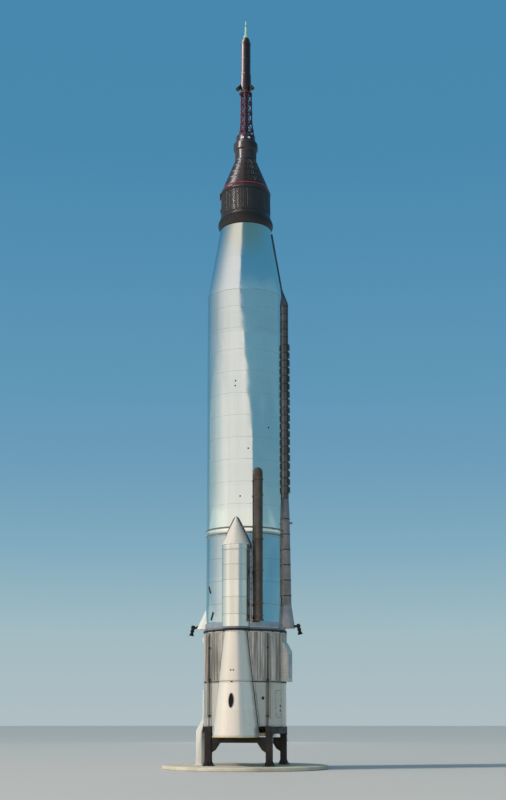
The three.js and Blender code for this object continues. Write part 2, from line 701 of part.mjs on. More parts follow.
function addTower() {
  const { legs, turn, baseRadius, waistRadius, waist, topRadius } = TOWER;
  const { leg, brace, core } = TOWER_BARS;
  const low = LEVEL.tower;
  const high = LEVEL.motor;
  const radiusAt = (share) =>
    share < waist
      ? baseRadius + (waistRadius - baseRadius) * (share / waist)
      : waistRadius + (topRadius - waistRadius) * ((share - waist) / (1 - waist));
  const corner = (index, share) => {
    const angle = degrees(turn + (360 / legs) * index);
    const radius = radiusAt(share);
    return [radius * Math.sin(angle), -radius * Math.cos(angle), low + 20 + (high - low - 40) * share];
  };
  const parts = [
    disc(baseRadius + 18, low, low + 40, SMALL_SIDES),
    rod([0, 0, low + 20], [0, 0, high - 20], core, 12),
    disc(topRadius + 30, high - 40, high - GAP, SMALL_SIDES),
  ];
  for (let i = 0; i < legs; i += 1) {
    for (let bay = 0; bay + 1 < TOWER_BAYS.length; bay += 1) {
      const [from, to] = [TOWER_BAYS[bay], TOWER_BAYS[bay + 1]];
      parts.push(rod(corner(i, from), corner(i, to), leg, 6));
      parts.push(rod(corner(i, from), corner(i + 1, to), brace, 5));
      if (bay === 0) continue;
      parts.push(rod(corner(i, from), corner(i + 1, from), brace, 5));
      const [x, y, z] = corner(i, from);
      parts.push(box([x - leg, x + leg], [y - leg, y + leg], [z - leg, z + leg]));
    }
  }
  add("escape_tower", joined(...parts), "towerMaroon");

  const { nose, tip } = LEVEL;
  const noseFoot = nose - GAP;
  const casingProfile = [[0, high], [170, high], [195, high + 120], [195, noseFoot], [0, noseFoot]];
  const casing = turned(casingProfile, SMALL_SIDES);
  const nozzles = Array.from({ length: legs }, (_, i) => {
    const angle = degrees(NOZZLE.turn + (360 / legs) * i);
    const [from, to] = [NOZZLE.throat, NOZZLE.exit].map(([radius, level]) =>
      [radius * Math.sin(angle), -radius * Math.cos(angle), level]);
    return rod(from, to, NOZZLE.throatRadius, 12, NOZZLE.exitRadius);
  });
  add("escape_motor", joined(casing, ...nozzles), "towerMaroon");
  const spike = [
    [0, nose],
    [195, nose],
    [175, nose + 120],
    [95, nose + 330],
    [48, nose + 430],
    [36, nose + 800],
    [20, tip - 30],
    [0, tip],
  ];
  add("nose_spike", turned(spike, SMALL_SIDES), "paleGreen");
}

addStand();
addBoosterSection();
addThrustFrame();
addTankEnd();
addEngines();
addTanks();
addFairings();
addPipe();
addCapsule();
addTower();

export default rocket;
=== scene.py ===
"""A display space rocket on its stand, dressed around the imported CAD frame.

Every length is in metres, in the frame of the CAD: +Z up, the rocket's axis at x = y = 0, the
underside of the plinth at z = 0, the front nacelle towards -Y and the equipment pod towards +X.
Angles round the rocket run from the front (-Y) towards +X.
"""

import logging
import math
from collections.abc import Callable, Iterable, Sequence
from dataclasses import dataclass
from enum import Enum

import bpy
from mathutils import Matrix, Vector


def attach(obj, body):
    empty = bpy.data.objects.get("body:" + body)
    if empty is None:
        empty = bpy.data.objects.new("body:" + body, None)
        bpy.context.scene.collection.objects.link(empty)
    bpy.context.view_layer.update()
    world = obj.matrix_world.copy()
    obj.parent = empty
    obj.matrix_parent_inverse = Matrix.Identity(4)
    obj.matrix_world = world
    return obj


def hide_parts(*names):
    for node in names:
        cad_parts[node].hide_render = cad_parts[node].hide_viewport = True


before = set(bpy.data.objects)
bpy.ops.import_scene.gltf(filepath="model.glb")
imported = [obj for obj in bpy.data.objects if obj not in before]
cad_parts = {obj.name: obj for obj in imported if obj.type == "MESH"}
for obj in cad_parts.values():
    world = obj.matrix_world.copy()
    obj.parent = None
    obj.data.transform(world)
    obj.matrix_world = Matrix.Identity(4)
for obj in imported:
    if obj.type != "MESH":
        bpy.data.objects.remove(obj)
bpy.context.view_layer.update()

log = logging.getLogger("rocket")

Pair = tuple[float, float]
Point = tuple[float, float, float]
Profile = list[Pair]
Site = tuple[Vector, ...]
Soft = tuple[float, int]
Piece = bpy.types.Object
Node = bpy.types.Node
Socket = bpy.types.NodeSocket
Tree = bpy.types.NodeTree

AIRFRAME = "airframe"
IMAGE_TALL = 800
SENSOR = 36.0
SMOOTH_ANGLE = math.radians(32)
POLE = 1e-6
SEED = 7
UP = Vector((0, 0, 1))
RIGHT = Vector((1, 0, 0))
BOTH_SIDES = (-1, 1)


# Meshes


class Form:
    """The points and faces of one piece while it is being made."""

    def __init__(self) -> None:
        """Starts with nothing in it."""
        self.points: list[Vector] = []
        self.faces: list[tuple[int, ...]] = []

    def rings(self, rings: Sequence[Sequence[Point]], loop: bool = False) -> "Form":
        """Skins closed outlines that have equally many points, anticlockwise seen from the far end.

        Args:
            rings: The outlines, in order.
            loop: Whether the last outline joins the first; if not, both are filled.

        Returns:
            This form.
        """
        start = len(self.points)
        count = len(rings[0])
        self.points.extend(Vector(point) for ring in rings for point in ring)
        for row in range(len(rings) if loop else len(rings) - 1):
            low = start + row * count
            high = start + (row + 1) % len(rings) * count
            for i in range(count):
                j = (i + 1) % count
                self.faces.append((low + i, low + j, high + j, high + i))
        if not loop:
            end = start + len(rings) * count
            self.faces.append(tuple(range(start + count - 1, start - 1, -1)))
            self.faces.append(tuple(range(end - count, end)))
        return self

    def lathe(
        self,
        profile: Profile,
        steps: int = 128,
        centre: Pair = (0.0, 0.0),
        loop: bool = False,
        wave: Callable[[float, float], float] | None = None,
    ) -> "Form":
        """Turns a profile of (radius, height) points, listed upwards on the outside, about a vertical axis.

        Args:
            profile: The points; a radius of nothing makes a pole.
            steps: How many columns go round.
            centre: Where the axis stands.
            loop: Whether the profile is a closed outline, as of a ring or a hollow wall.
            wave: A change of radius for an angle and a radius, as for ribs.

        Returns:
            This form.
        """
        rows: list[list[int]] = []
        for radius, height in profile:
            row = []
            for i in range(1 if radius < POLE else steps):
                angle = math.tau * i / steps
                reach = radius if wave is None or radius < POLE else radius + wave(angle, radius)
                x, y = centre[0] + reach * math.sin(angle), centre[1] - reach * math.cos(angle)
                row.append(len(self.points))
                self.points.append(Vector((x, y, height)))
            rows.append(row)
        for low, high in zip(rows, [*rows[1:], rows[0]] if loop else rows[1:]):
            for i in range(steps if len(low) + len(high) > 2 else 0):
                j = (i + 1) % steps
                if len(low) == 1:
                    self.faces.append((low[0], high[j], high[i]))
                elif len(high) == 1:
                    self.faces.append((low[i], low[j], high[0]))
                else:
                    self.faces.append((low[i], low[j], high[j], high[i]))
        return self

    def hoop(
        self, radii: Pair, levels: Pair, steps: int, soft: Soft = (0.0, 0), centre: Pair = (0.0, 0.0)
    ) -> "Form":
        """A level hoop with a square section.

        Args:
            radii: Its inner and its outer radius.
            levels: Its lowest and its highest level.
            steps: How many columns go round.
            soft: How far its edges are rounded, and in how many pieces.
            centre: Where its axis stands.

        Returns:
            This form.
        """
        (inner, outer), (low, high) = radii, levels
        profile = [(inner, low), (outer, low), (outer, high), (inner, high)]
        if soft[1]:
            profile = softened(profile, *soft, loop=True)
        return self.lathe(profile, steps, centre, loop=True)

    def sweep(
        self, path: Sequence[Point], radius: float, sides: int = 12, swell: Sequence[float] | None = None
    ) -> "Form":
        """A round bar along a path, mitred at its bends.

        Args:
            path: The points that it follows.
            radius: Its radius.
            sides: How many facets go round.
            swell: A factor of the radius for each point.

        Returns:
            This form.
        """
        points = [Vector(point) for point in path]
        swell = swell or [1.0] * len(points)
        across = (points[1] - points[0]).normalized().orthogonal().normalized()
        rings = []
        for i, point in enumerate(points):
            before = (point - points[i - 1]).normalized() if i else (points[1] - point).normalized()
            after = (points[i + 1] - point).normalized() if i + 1 < len(points) else before
            along = (before + after).normalized()
            stretch = 1.0 / max(0.4, along.dot(before))
            across = (across - along * across.dot(along)).normalized()
            side = along.cross(across)
            bend = before.cross(after)
            tilt = bend.cross(along).normalized() if bend.length > POLE else None
            ring = []
            for angle in turns(sides):
                offset = (across * math.cos(angle) + side * math.sin(angle)) * radius * swell[i]
                if tilt is not None:
                    offset += tilt * offset.dot(tilt) * (stretch - 1.0)
                ring.append(tuple(point + offset))
            rings.append(ring)
        return self.rings(rings)

    def ribbon(
        self, sites: Sequence[Site], width: float, height: float, sink: float = 0.003, loop: bool = False
    ) -> "Form":
        """A flat strap laid on a surface, with its edges chamfered.

        Args:
            sites: Points on the surface, each with the surface's outward direction.
            width: How wide the strap is.
            height: How far it stands proud.
            sink: How far it goes into the surface, so that no gap shows.
            loop: Whether the strap closes on itself.

        Returns:
            This form.
        """
        half, shoulder = width / 2, height * 0.4
        edge = min(height, width * 0.3)
        outline = [
            (-half, -sink), (half, -sink), (half, shoulder), (half - edge, height), (edge - half, height),
            (-half, shoulder),
        ]
        rings = []
        for i, (point, normal) in enumerate(sites):
            ahead = sites[(i + 1) % len(sites)][0] if loop or i + 1 < len(sites) else point
            behind = sites[i - 1][0] if loop or i else point
            along = (ahead - behind).normalized()
            out = (normal - along * normal.dot(along)).normalized()
            side = out.cross(along)
            rings.append([tuple(point + side * a + out * b) for a, b in outline])
        return self.rings(rings, loop)

    def block(self, low: Point, high: Point) -> "Form":
        """A box between its lowest and highest corners."""
        (x0, y0, z0), (x1, y1, z1) = low, high
        return self.rings([[(x0, y0, z), (x1, y0, z), (x1, y1, z), (x0, y1, z)] for z in (z0, z1)])

    def prism(self, outline: Sequence[Pair], low: float, high: float) -> "Form":
        """A plate with an outline in the XZ plane, anticlockwise seen from -Y, between two y values."""
        return self.rings([[(x, y, z) for x, z in outline] for y in (high, low)])

    def moved(self, change: Callable[[Vector], Vector]) -> "Form":
        """Moves every point as a function says, and returns this form."""
        self.points = [change(point) for point in self.points]
        return self

    def shifted(self, offset: Point) -> "Form":
        """Moves every point by an offset, and returns this form."""
        return self.moved(lambda point: point + Vector(offset))

    def turned(self, angle: float) -> "Form":
        """A copy of this form that is turned about the rocket's axis."""
        return Form().add(self).moved(lambda point: spun(point, angle))

    def add(self, other: "Form") -> "Form":
        """Takes in another form.

        Args:
            other: The form whose points and faces are taken in.

        Returns:
            This form.
        """
        start = len(self.points)
        self.points.extend(point.copy() for point in other.points)
        self.faces.extend(tuple(index + start for index in face) for face in other.faces)
        return self

    def made(self, name: str) -> Piece:
        """Makes a Blender object at the origin, smooth but for its sharp edges.

        Args:
            name: The object's name.

        Returns:
            The object.
        """
        mesh = bpy.data.meshes.new(name)
        mesh.from_pydata([tuple(point) for point in self.points], [], self.faces)
        mesh.validate()
        return smoothed(in_scene(name, mesh))

    def finished(
        self,
        name: str,
        finish: "Finishes",
        *nodes: str,
        body: str = AIRFRAME,
        bevel: float = 0.0,
        cuts: int = 2,
    ) -> Piece:
        """Makes this form's piece, rounds its edges if a bevel is given, and dresses it.

        Args:
            name: The piece's name.
            finish: What it is made of.
            nodes: The CAD nodes that it takes the place of.
            body: The CAD body that it moves with.
            bevel: How far its edges are rounded.
            cuts: How many pieces make a rounded edge.

        Returns:
            The piece.
        """
        piece = self.made(name)
        if bevel:
            bevelled(piece, bevel, cuts)
        return dressed(piece, finish, body, nodes)


def in_scene(name: str, data: bpy.types.ID) -> Piece:
    """Puts a new object into the scene.

    Args:
        name: Its name.
        data: Its mesh, light or camera.

    Returns:
        The object.
    """
    item = bpy.data.objects.new(name, data)
    bpy.context.scene.collection.objects.link(item)
    return item


def smoothed(piece: Piece) -> Piece:
    """Shades a piece smooth, apart from its sharp edges.

    Args:
        piece: The piece.

    Returns:
        The piece.
    """
    piece.data.polygons.foreach_set("use_smooth", [True] * len(piece.data.polygons))
    piece.data.set_sharp_from_angle(angle=SMOOTH_ANGLE)
    piece.data.update()
    return piece


def baked(piece: Piece) -> Piece:
    """Turns what a piece's modifiers make into its plain mesh.

    Args:
        piece: The piece.

    Returns:
        The piece.
    """
    mesh = bpy.data.meshes.new_from_object(piece.evaluated_get(bpy.context.evaluated_depsgraph_get()))
    piece.modifiers.clear()
    piece.data = mesh
    return piece


def modified(piece: Piece, kind: str, **settings: object) -> None:
    """Adds a modifier to a piece.

    Args:
        piece: The piece.
        kind: The modifier's type.
        settings: Values for its properties.
    """
    modifier = piece.modifiers.new(kind.title(), kind)
    for name, value in settings.items():
        setattr(modifier, name, value)


def bevelled(piece: Piece, width: float, segments: int = 2) -> Piece:
    """Rounds a piece's sharp edges.

    Args:
        piece: The piece.
        width: How far its edges are rounded.
        segments: How many pieces make a rounded edge.

    Returns:
        The piece.
    """
    edges = {"limit_method": "ANGLE", "angle_limit": SMOOTH_ANGLE, "use_clamp_overlap": True}
    modified(piece, "BEVEL", width=width, segments=segments, **edges)
    return smoothed(baked(piece))


def cut_out(piece: Piece, tool: Form) -> Piece:
    """Cuts a closed form out of a piece.

    Args:
        piece: The piece.
        tool: The form.

    Returns:
        The piece.
    """
    cutter = tool.made("cutter")
    modified(piece, "BOOLEAN", operation="DIFFERENCE", solver="EXACT", object=cutter)
    baked(piece)
    bpy.data.objects.remove(cutter)
    return smoothed(piece)


def refined(node: str, name: str, width: float, finish: "Finishes", body: str = AIRFRAME) -> Piece:
    """Replaces a CAD node by a copy with its doubled points merged and its edges rounded.

    Args:
        node: The CAD node's name.
        name: The new piece's name.
        width: How far its edges are rounded.
        finish: What it is made of.
        body: The CAD body that it moves with.

    Returns:
        The new piece.
    """
    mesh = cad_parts[node].data.copy()
    mesh.materials.clear()
    piece = in_scene(name, mesh)
    modified(piece, "WELD", merge_threshold=0.0002)
    modified(piece, "DECIMATE", decimate_type="DISSOLVE", angle_limit=math.radians(1))
    normals = mesh.attributes.get("custom_normal")
    if normals:
        mesh.attributes.remove(normals)
    return dressed(bevelled(baked(piece), width), finish, body, [node])


def softened(profile: Profile, radius: float, steps: int = 3, loop: bool = False) -> Profile:
    """Rounds the inner corners of a profile.

    Args:
        profile: Its points.
        radius: How far before and after a corner the round starts.
        steps: How many straight pieces make the round.
        loop: Whether the last point joins the first, whose own corner stays sharp.

    Returns:
        The new points.
    """
    if loop:
        return softened([*profile, profile[0]], radius, steps)[:-1]
    result = [profile[0]]
    for before, corner, after in zip(profile, profile[1:], profile[2:]):
        ends = []
        for other in (before, after):
            length = math.dist(corner, other)
            share = min(radius, length * 0.45) / length if length > 1e-9 else 0.0
            ends.append(tuple(c + (o - c) * share for c, o in zip(corner, other)))
        for i in range(steps + 1):
            t = i / steps
            places = zip(ends[0], corner, ends[1])
            result.append(tuple((1 - t) ** 2 * a + 2 * t * (1 - t) * c + t**2 * b for a, c, b in places))
    return [*result, profile[-1]]


def spun(vector: Vector, angle: float) -> Vector:
    """A point or a direction that is turned about the rocket's axis."""
    c, s = math.cos(angle), math.sin(angle)
    return Vector((c * vector.x - s * vector.y, s * vector.x + c * vector.y, vector.z))


def around(angle: float, radius: float, height: float) -> Vector:
    """The point at an angle from the front, a radius and a height."""
    return Vector((radius * math.sin(angle), -radius * math.cos(angle), height))


def outward(angle: float) -> Vector:
    """The level direction away from the rocket's axis at an angle."""
    return Vector((math.sin(angle), -math.cos(angle), 0.0))


def site_at(angle: float, radius: float, level: float) -> Site:
    """The point of a round wall at an angle and a level, with its outward direction."""
    return around(angle, radius, level), outward(angle)


def sites_at(angles: Iterable[float], radius: float, levels: Sequence[float]) -> list[Site]:
    """The points of a round wall at every angle and level, with their outward directions."""
    return [site_at(angle, radius, level) for angle in angles for level in levels]


def upright(angle: float, radii: Pair, levels: Pair) -> list[Point]:
    """A straight path up a round wall, between two radii and two levels."""
    return [tuple(around(angle, radius, level)) for radius, level in zip(radii, levels)]


def shares(count: int) -> list[float]:
    """Evenly spaced shares from nothing to one, both included."""
    return [i / (count - 1) for i in range(count)]


def spread(low: float, high: float, count: int) -> list[float]:
    """Evenly spaced values from one to another, both included."""
    return [low + (high - low) * share for share in shares(count)]


def turns(count: int, start: float = 0.0) -> list[float]:
    """Evenly spaced angles all the way round, from a share of one step on."""
    return [math.tau * (i + start) / count for i in range(count)]


def dressed(piece: Piece, finish: "Finishes", body: str = AIRFRAME, nodes: Iterable[str] = ()) -> Piece:
    """Gives a piece its finish and its body, and hides the CAD nodes that it stands for.

    Args:
        piece: The piece.
        finish: What it is made of.
        body: The CAD body that it moves with.
        nodes: The CAD nodes that it takes the place of.

    Returns:
        The piece.
    """
    piece.data.materials.clear()
    piece.data.materials.append(finish.value.material())
    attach(piece, body)
    if nodes:
        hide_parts(*nodes)
    log.info("%s: %d faces, rides on %s", piece.name, len(piece.data.polygons), body)
    return piece


def lathed(name: str, profile: Profile, finish: "Finishes", steps: int, *nodes: str) -> Piece:
    """Turns a profile about the rocket's axis into a piece that may stand for CAD nodes."""
    return Form().lathe(profile, steps).finished(name, finish, *nodes)


# Finishes


class NodeSketch:
    """A node tree that is written down as nested calls."""

    def __init__(self, tree: Tree) -> None:
        """Works on a tree that may already hold nodes."""
        self.tree = tree

    def put(self, socket: Socket, value: object) -> None:
        """Sets an input to a value, or links another socket to it.

        Args:
            socket: The input.
            value: The value or the socket.
        """
        if isinstance(value, Socket):
            self.tree.links.new(value, socket)
        else:
            socket.default_value = value

    def node(self, kind: str, inputs: dict | None = None, **settings: object) -> Node:
        """Adds a node.

        Args:
            kind: The node's type.
            inputs: Values or sockets for its inputs, by name or by place.
            settings: Values for its properties.

        Returns:
            The node.
        """
        node = self.tree.nodes.new(kind)
        for name, value in settings.items():
            setattr(node, name, value)
        for key, value in (inputs or {}).items():
            self.put(node.inputs[key], value)
        return node

    def out(self, kind: str, inputs: dict | None = None, **settings: object) -> Socket:
        """Adds a node and returns its first output."""
        return self.node(kind, inputs, **settings).outputs[0]

    def math(self, operation: str, *values: object, clamp: bool = False) -> Socket:
        """The result of a Math node on numbers or sockets."""
        return self.out("ShaderNodeMath", dict(enumerate(values)), operation=operation, use_clamp=clamp)

    def times(self, first: object, second: object) -> Socket:
        """One value times another."""
        return self.math("MULTIPLY", first, second)

    def weighed(
        self, first: object, part: float, second: object, rest: float, clamp: bool = False
    ) -> Socket:
        """The sum of two values, each times its weight."""
        return self.math("ADD", self.times(first, part), self.times(second, rest), clamp=clamp)

    def noise(self, place: Socket, scale: float, detail: float = 3.0, stretch: Point = (1, 1, 1)) -> Socket:
        """Noise between nothing and one.

        Args:
            place: Where it is read.
            scale: How fine it is.
            detail: How many finer layers it has.
            stretch: A factor of its fineness for each axis.

        Returns:
            The noise.
        """
        squeezed = self.out("ShaderNodeMapping", {"Vector": place, "Scale": stretch})
        inputs = {"Vector": squeezed, "Scale": scale, "Detail": detail, "Roughness": 0.6}
        return self.out("ShaderNodeTexNoise", inputs)

    def ramp(self, value: Socket, low: float, high: float, to: Pair = (0.0, 1.0)) -> Socket:
        """A value carried from one span to another, and held at its ends."""
        inputs = {"Value": value, "From Min": low, "From Max": high, "To Min": to[0], "To Max": to[1]}
        return self.out("ShaderNodeMapRange", inputs)

    def mixed(self, share: Socket, first: object, second: object) -> Socket:
        """A colour between two colours, by a share."""
        return self.node("ShaderNodeMix", {0: share, 6: first, 7: second}, data_type="RGBA").outputs[2]

    def steps(self, value: Socket, stops: Sequence[tuple[float, tuple]]) -> Socket:
        """A colour ramp through several stops.

        Args:
            value: Where on the ramp to read.
            stops: For each stop its place and its colour.

        Returns:
            The colour.
        """
        node = self.node("ShaderNodeValToRGB", {"Fac": value})
        elements = node.color_ramp.elements
        while len(elements) < len(stops):
            elements.new(1.0)
        for element, (place, colour) in zip(elements, stops):
            element.position, element.color = place, colour
        return node.outputs[0]


def tint(code: int) -> tuple[float, float, float, float]:
    """The linear colour of a hexadecimal screen colour.

    Args:
        code: The colour as red, green and blue bytes.

    Returns:
        Its linear red, green and blue, and a full alpha.
    """
    parts = [((code >> shift) & 255) / 255 for shift in (16, 8, 0)]
    linear = [part / 12.92 if part <= 0.04045 else ((part + 0.055) / 1.055) ** 2.4 for part in parts]
    return (*linear, 1.0)


@dataclass(frozen=True)
class Finish:
    """A surface finish: its name, the slot that it belongs to, and its two main colours."""

    name: str
    slot: str
    colour: int
    shade: int
    roughness: float = 0.5
    metallic: float = 0.0

    def material(self) -> bpy.types.Material:
        """The finish's material, made once.

        Returns:
            The material.
        """
        if self.name in bpy.data.materials:
            return bpy.data.materials[self.name]
        material = bpy.data.materials.new(self.name)
        material.use_nodes = True
        material.diffuse_color = tint(self.colour)
        sketch = NodeSketch(material.node_tree)
        sockets = material.node_tree.nodes["Principled BSDF"].inputs
        place = sketch.node("ShaderNodeTexCoord").outputs["Object"]
        sockets["Roughness"].default_value = self.roughness
        sockets["Metallic"].default_value = self.metallic
        colour, roughness, *heights = self.draw(sketch, place)
        sketch.put(sockets["Base Color"], colour)
        sketch.put(sockets["Roughness"], roughness)
        below = {}
        for height, strength, distance in heights:
            inputs = {"Height": height, "Strength": strength, "Distance": distance, **below}
            below = {"Normal": sketch.out("ShaderNodeBump", inputs)}
        sketch.put(sockets["Normal"], below["Normal"])
        return material

    def mix(self, sketch: NodeSketch, share: Socket) -> Socket:
        """The finish's two colours, mixed by a share."""
        return sketch.mixed(share, tint(self.colour), tint(self.shade))


@dataclass(frozen=True)
class SteelSkin(Finish):
    """Bare thin steel: bands of sheets that differ a little, rain streaks, soft dents and a fine grain."""

    band: float = 0.87
    band_start: float = 5.5
    dents: float = 0.35
    streaks: float = 0.5
    streak_scale: float = 3.2
    polish: Pair = (0.16, 0.3)

    def draw(self, sketch: NodeSketch, place: Socket) -> tuple:
        """Draws the bands, the streaks, the dents and the grain.

        Args:
            sketch: The material's nodes.
            place: The object's own coordinates.

        Returns:
            The colour, the roughness and the height maps, each with its strength and its depth.
        """
        up = sketch.node("ShaderNodeSeparateXYZ", {0: place}).outputs[2]
        level = sketch.math("DIVIDE", sketch.math("SUBTRACT", up, self.band_start), self.band)
        index = {"W": sketch.math("FLOOR", level)}
        sheet = sketch.out("ShaderNodeTexWhiteNoise", index, noise_dimensions="1D")
        streak = sketch.noise(place, self.streak_scale, 4.0, (1, 1, 0.05))
        cloud = sketch.noise(place, 0.55, 3.0)
        grime = sketch.times(sketch.ramp(streak, 0.42, 0.75), self.streaks)
        tone = sketch.weighed(sheet, 0.35, cloud, 0.3)
        colour = self.mix(sketch, sketch.math("ADD", tone, sketch.times(grime, 0.55), clamp=True))
        fine = sketch.noise(place, 45.0, 4.0, (1, 1, 0.25))
        speck = sketch.ramp(fine, 0.62, 0.72, (0.0, 0.25))
        rough = sketch.weighed(sheet, 0.4, streak, 0.6)
        sag = sketch.noise(place, 1.1, 2.0, (1, 1, 0.45))
        return (
            sketch.mixed(speck, colour, tint(0x6A6A66)),
            sketch.ramp(rough, 0.2, 0.8, self.polish),
            (sag, self.dents, 0.05),
            (fine, 0.05, 0.002),
        )


@dataclass(frozen=True)
class Paint(Finish):
    """Paint on steel: patches, streaks that run down, specks where it is worn, and a low orange-peel."""

    worn: int = 0x6B5F52
    wear: float = 0.35
    grain: float = 22.0
    relief: float = 0.25
    streaks: float = 0.4
    gloss: float = 0.12

    def draw(self, sketch: NodeSketch, place: Socket) -> tuple:
        """Draws the patches, the streaks, the wear and the surface of the paint.

        Args:
            sketch: The material's nodes.
            place: The object's own coordinates.

        Returns:
            The colour, the roughness and the height map with its strength and its depth.
        """
        patches = sketch.ramp(sketch.noise(place, 2.3, 4.0), 0.38, 0.66)
        streak = sketch.ramp(sketch.noise(place, 6.0, 3.0, (1, 1, 0.07)), 0.48, 0.72)
        colour = self.mix(sketch, sketch.weighed(patches, 0.6, streak, self.streaks, clamp=True))
        specks = sketch.noise(place, self.grain, 6.0)
        chips = sketch.ramp(specks, 0.64, 0.70, (0.0, self.wear))
        span = (self.roughness - self.gloss, self.roughness + self.gloss)
        return (
            sketch.mixed(chips, colour, tint(self.worn)),
            sketch.ramp(sketch.weighed(patches, 0.5, specks, 0.5), 0.2, 0.8, span),
            (specks, self.relief, 0.004),
        )


@dataclass(frozen=True)
class Concrete(Finish):
    """Cast concrete: stains, sand grain, pores and fine cracks."""

    sand: int = 0x9C9486
    crack: int = 0x59544B

    def draw(self, sketch: NodeSketch, place: Socket) -> tuple:
        """Draws the stains, the grain, the pores and the cracks.

        Args:
            sketch: The material's nodes.
            place: The object's own coordinates.

        Returns:
            The colour, the roughness and the height maps, each with its strength and its depth.
        """
        stains = sketch.ramp(sketch.noise(place, 0.9, 5.0), 0.4, 0.68)
        grain = sketch.noise(place, 60.0, 6.0)
        pores = sketch.out("ShaderNodeTexVoronoi", {"Vector": place, "Scale": 38.0})
        drift = sketch.node("ShaderNodeTexNoise", {"Vector": place, "Scale": 2.0}).outputs["Color"]
        wobble = sketch.out("ShaderNodeVectorMath", {0: place, 1: drift}, operation="ADD")
        inputs = {"Vector": wobble, "Scale": 0.7}
        cracks = sketch.out("ShaderNodeTexVoronoi", inputs, feature="DISTANCE_TO_EDGE")
        grit = sketch.ramp(grain, 0.35, 0.7, (0.0, 0.35))
        sanded = sketch.mixed(grit, self.mix(sketch, stains), tint(self.sand))
        return (
            sketch.mixed(sketch.ramp(cracks, 0.0, 0.006, (0.5, 0.0)), sanded, tint(self.crack)),
            sketch.ramp(grain, 0.2, 0.8, (0.75, 0.95)),
            (sketch.ramp(pores, 0.0, 0.18), 0.3, 0.004),
            (grain, 0.4, 0.003),
        )


@dataclass(frozen=True)
class HotMetal(Finish):
    """Engine metal: soot at the mouth, straw and blue heat tints further up, and brushed wear."""

    low: float = 1.33
    high: float = 2.6
    heat: tuple[tuple[float, int], ...] = (
        (0.1, 0x2A2724), (0.3, 0x5A4C3E), (0.5, 0x8A7A62), (0.7, 0x6C6F7A)
    )

    def draw(self, sketch: NodeSketch, place: Socket) -> tuple:
        """Draws the soot, the heat tints and the wear.

        Args:
            sketch: The material's nodes.
            place: The object's own coordinates.

        Returns:
            The colour, the roughness and the height map with its strength and its depth.
        """
        up = sketch.node("ShaderNodeSeparateXYZ", {0: place}).outputs[2]
        cloud = sketch.times(sketch.noise(place, 5.0, 4.0), 0.25)
        level = sketch.math("ADD", sketch.ramp(up, self.low, self.high), cloud)
        stops = [(share, tint(code)) for share, code in (*self.heat, (0.95, self.colour))]
        brushed = sketch.noise(place, 30.0, 3.0, (1, 1, 0.1))
        worn = sketch.ramp(brushed, 0.55, 0.75, (0.0, 0.4))
        return (
            sketch.mixed(worn, sketch.steps(level, stops), tint(self.shade)),
            sketch.ramp(brushed, 0.2, 0.8, (0.25, 0.5)),
            (brushed, 0.1, 0.002),
        )


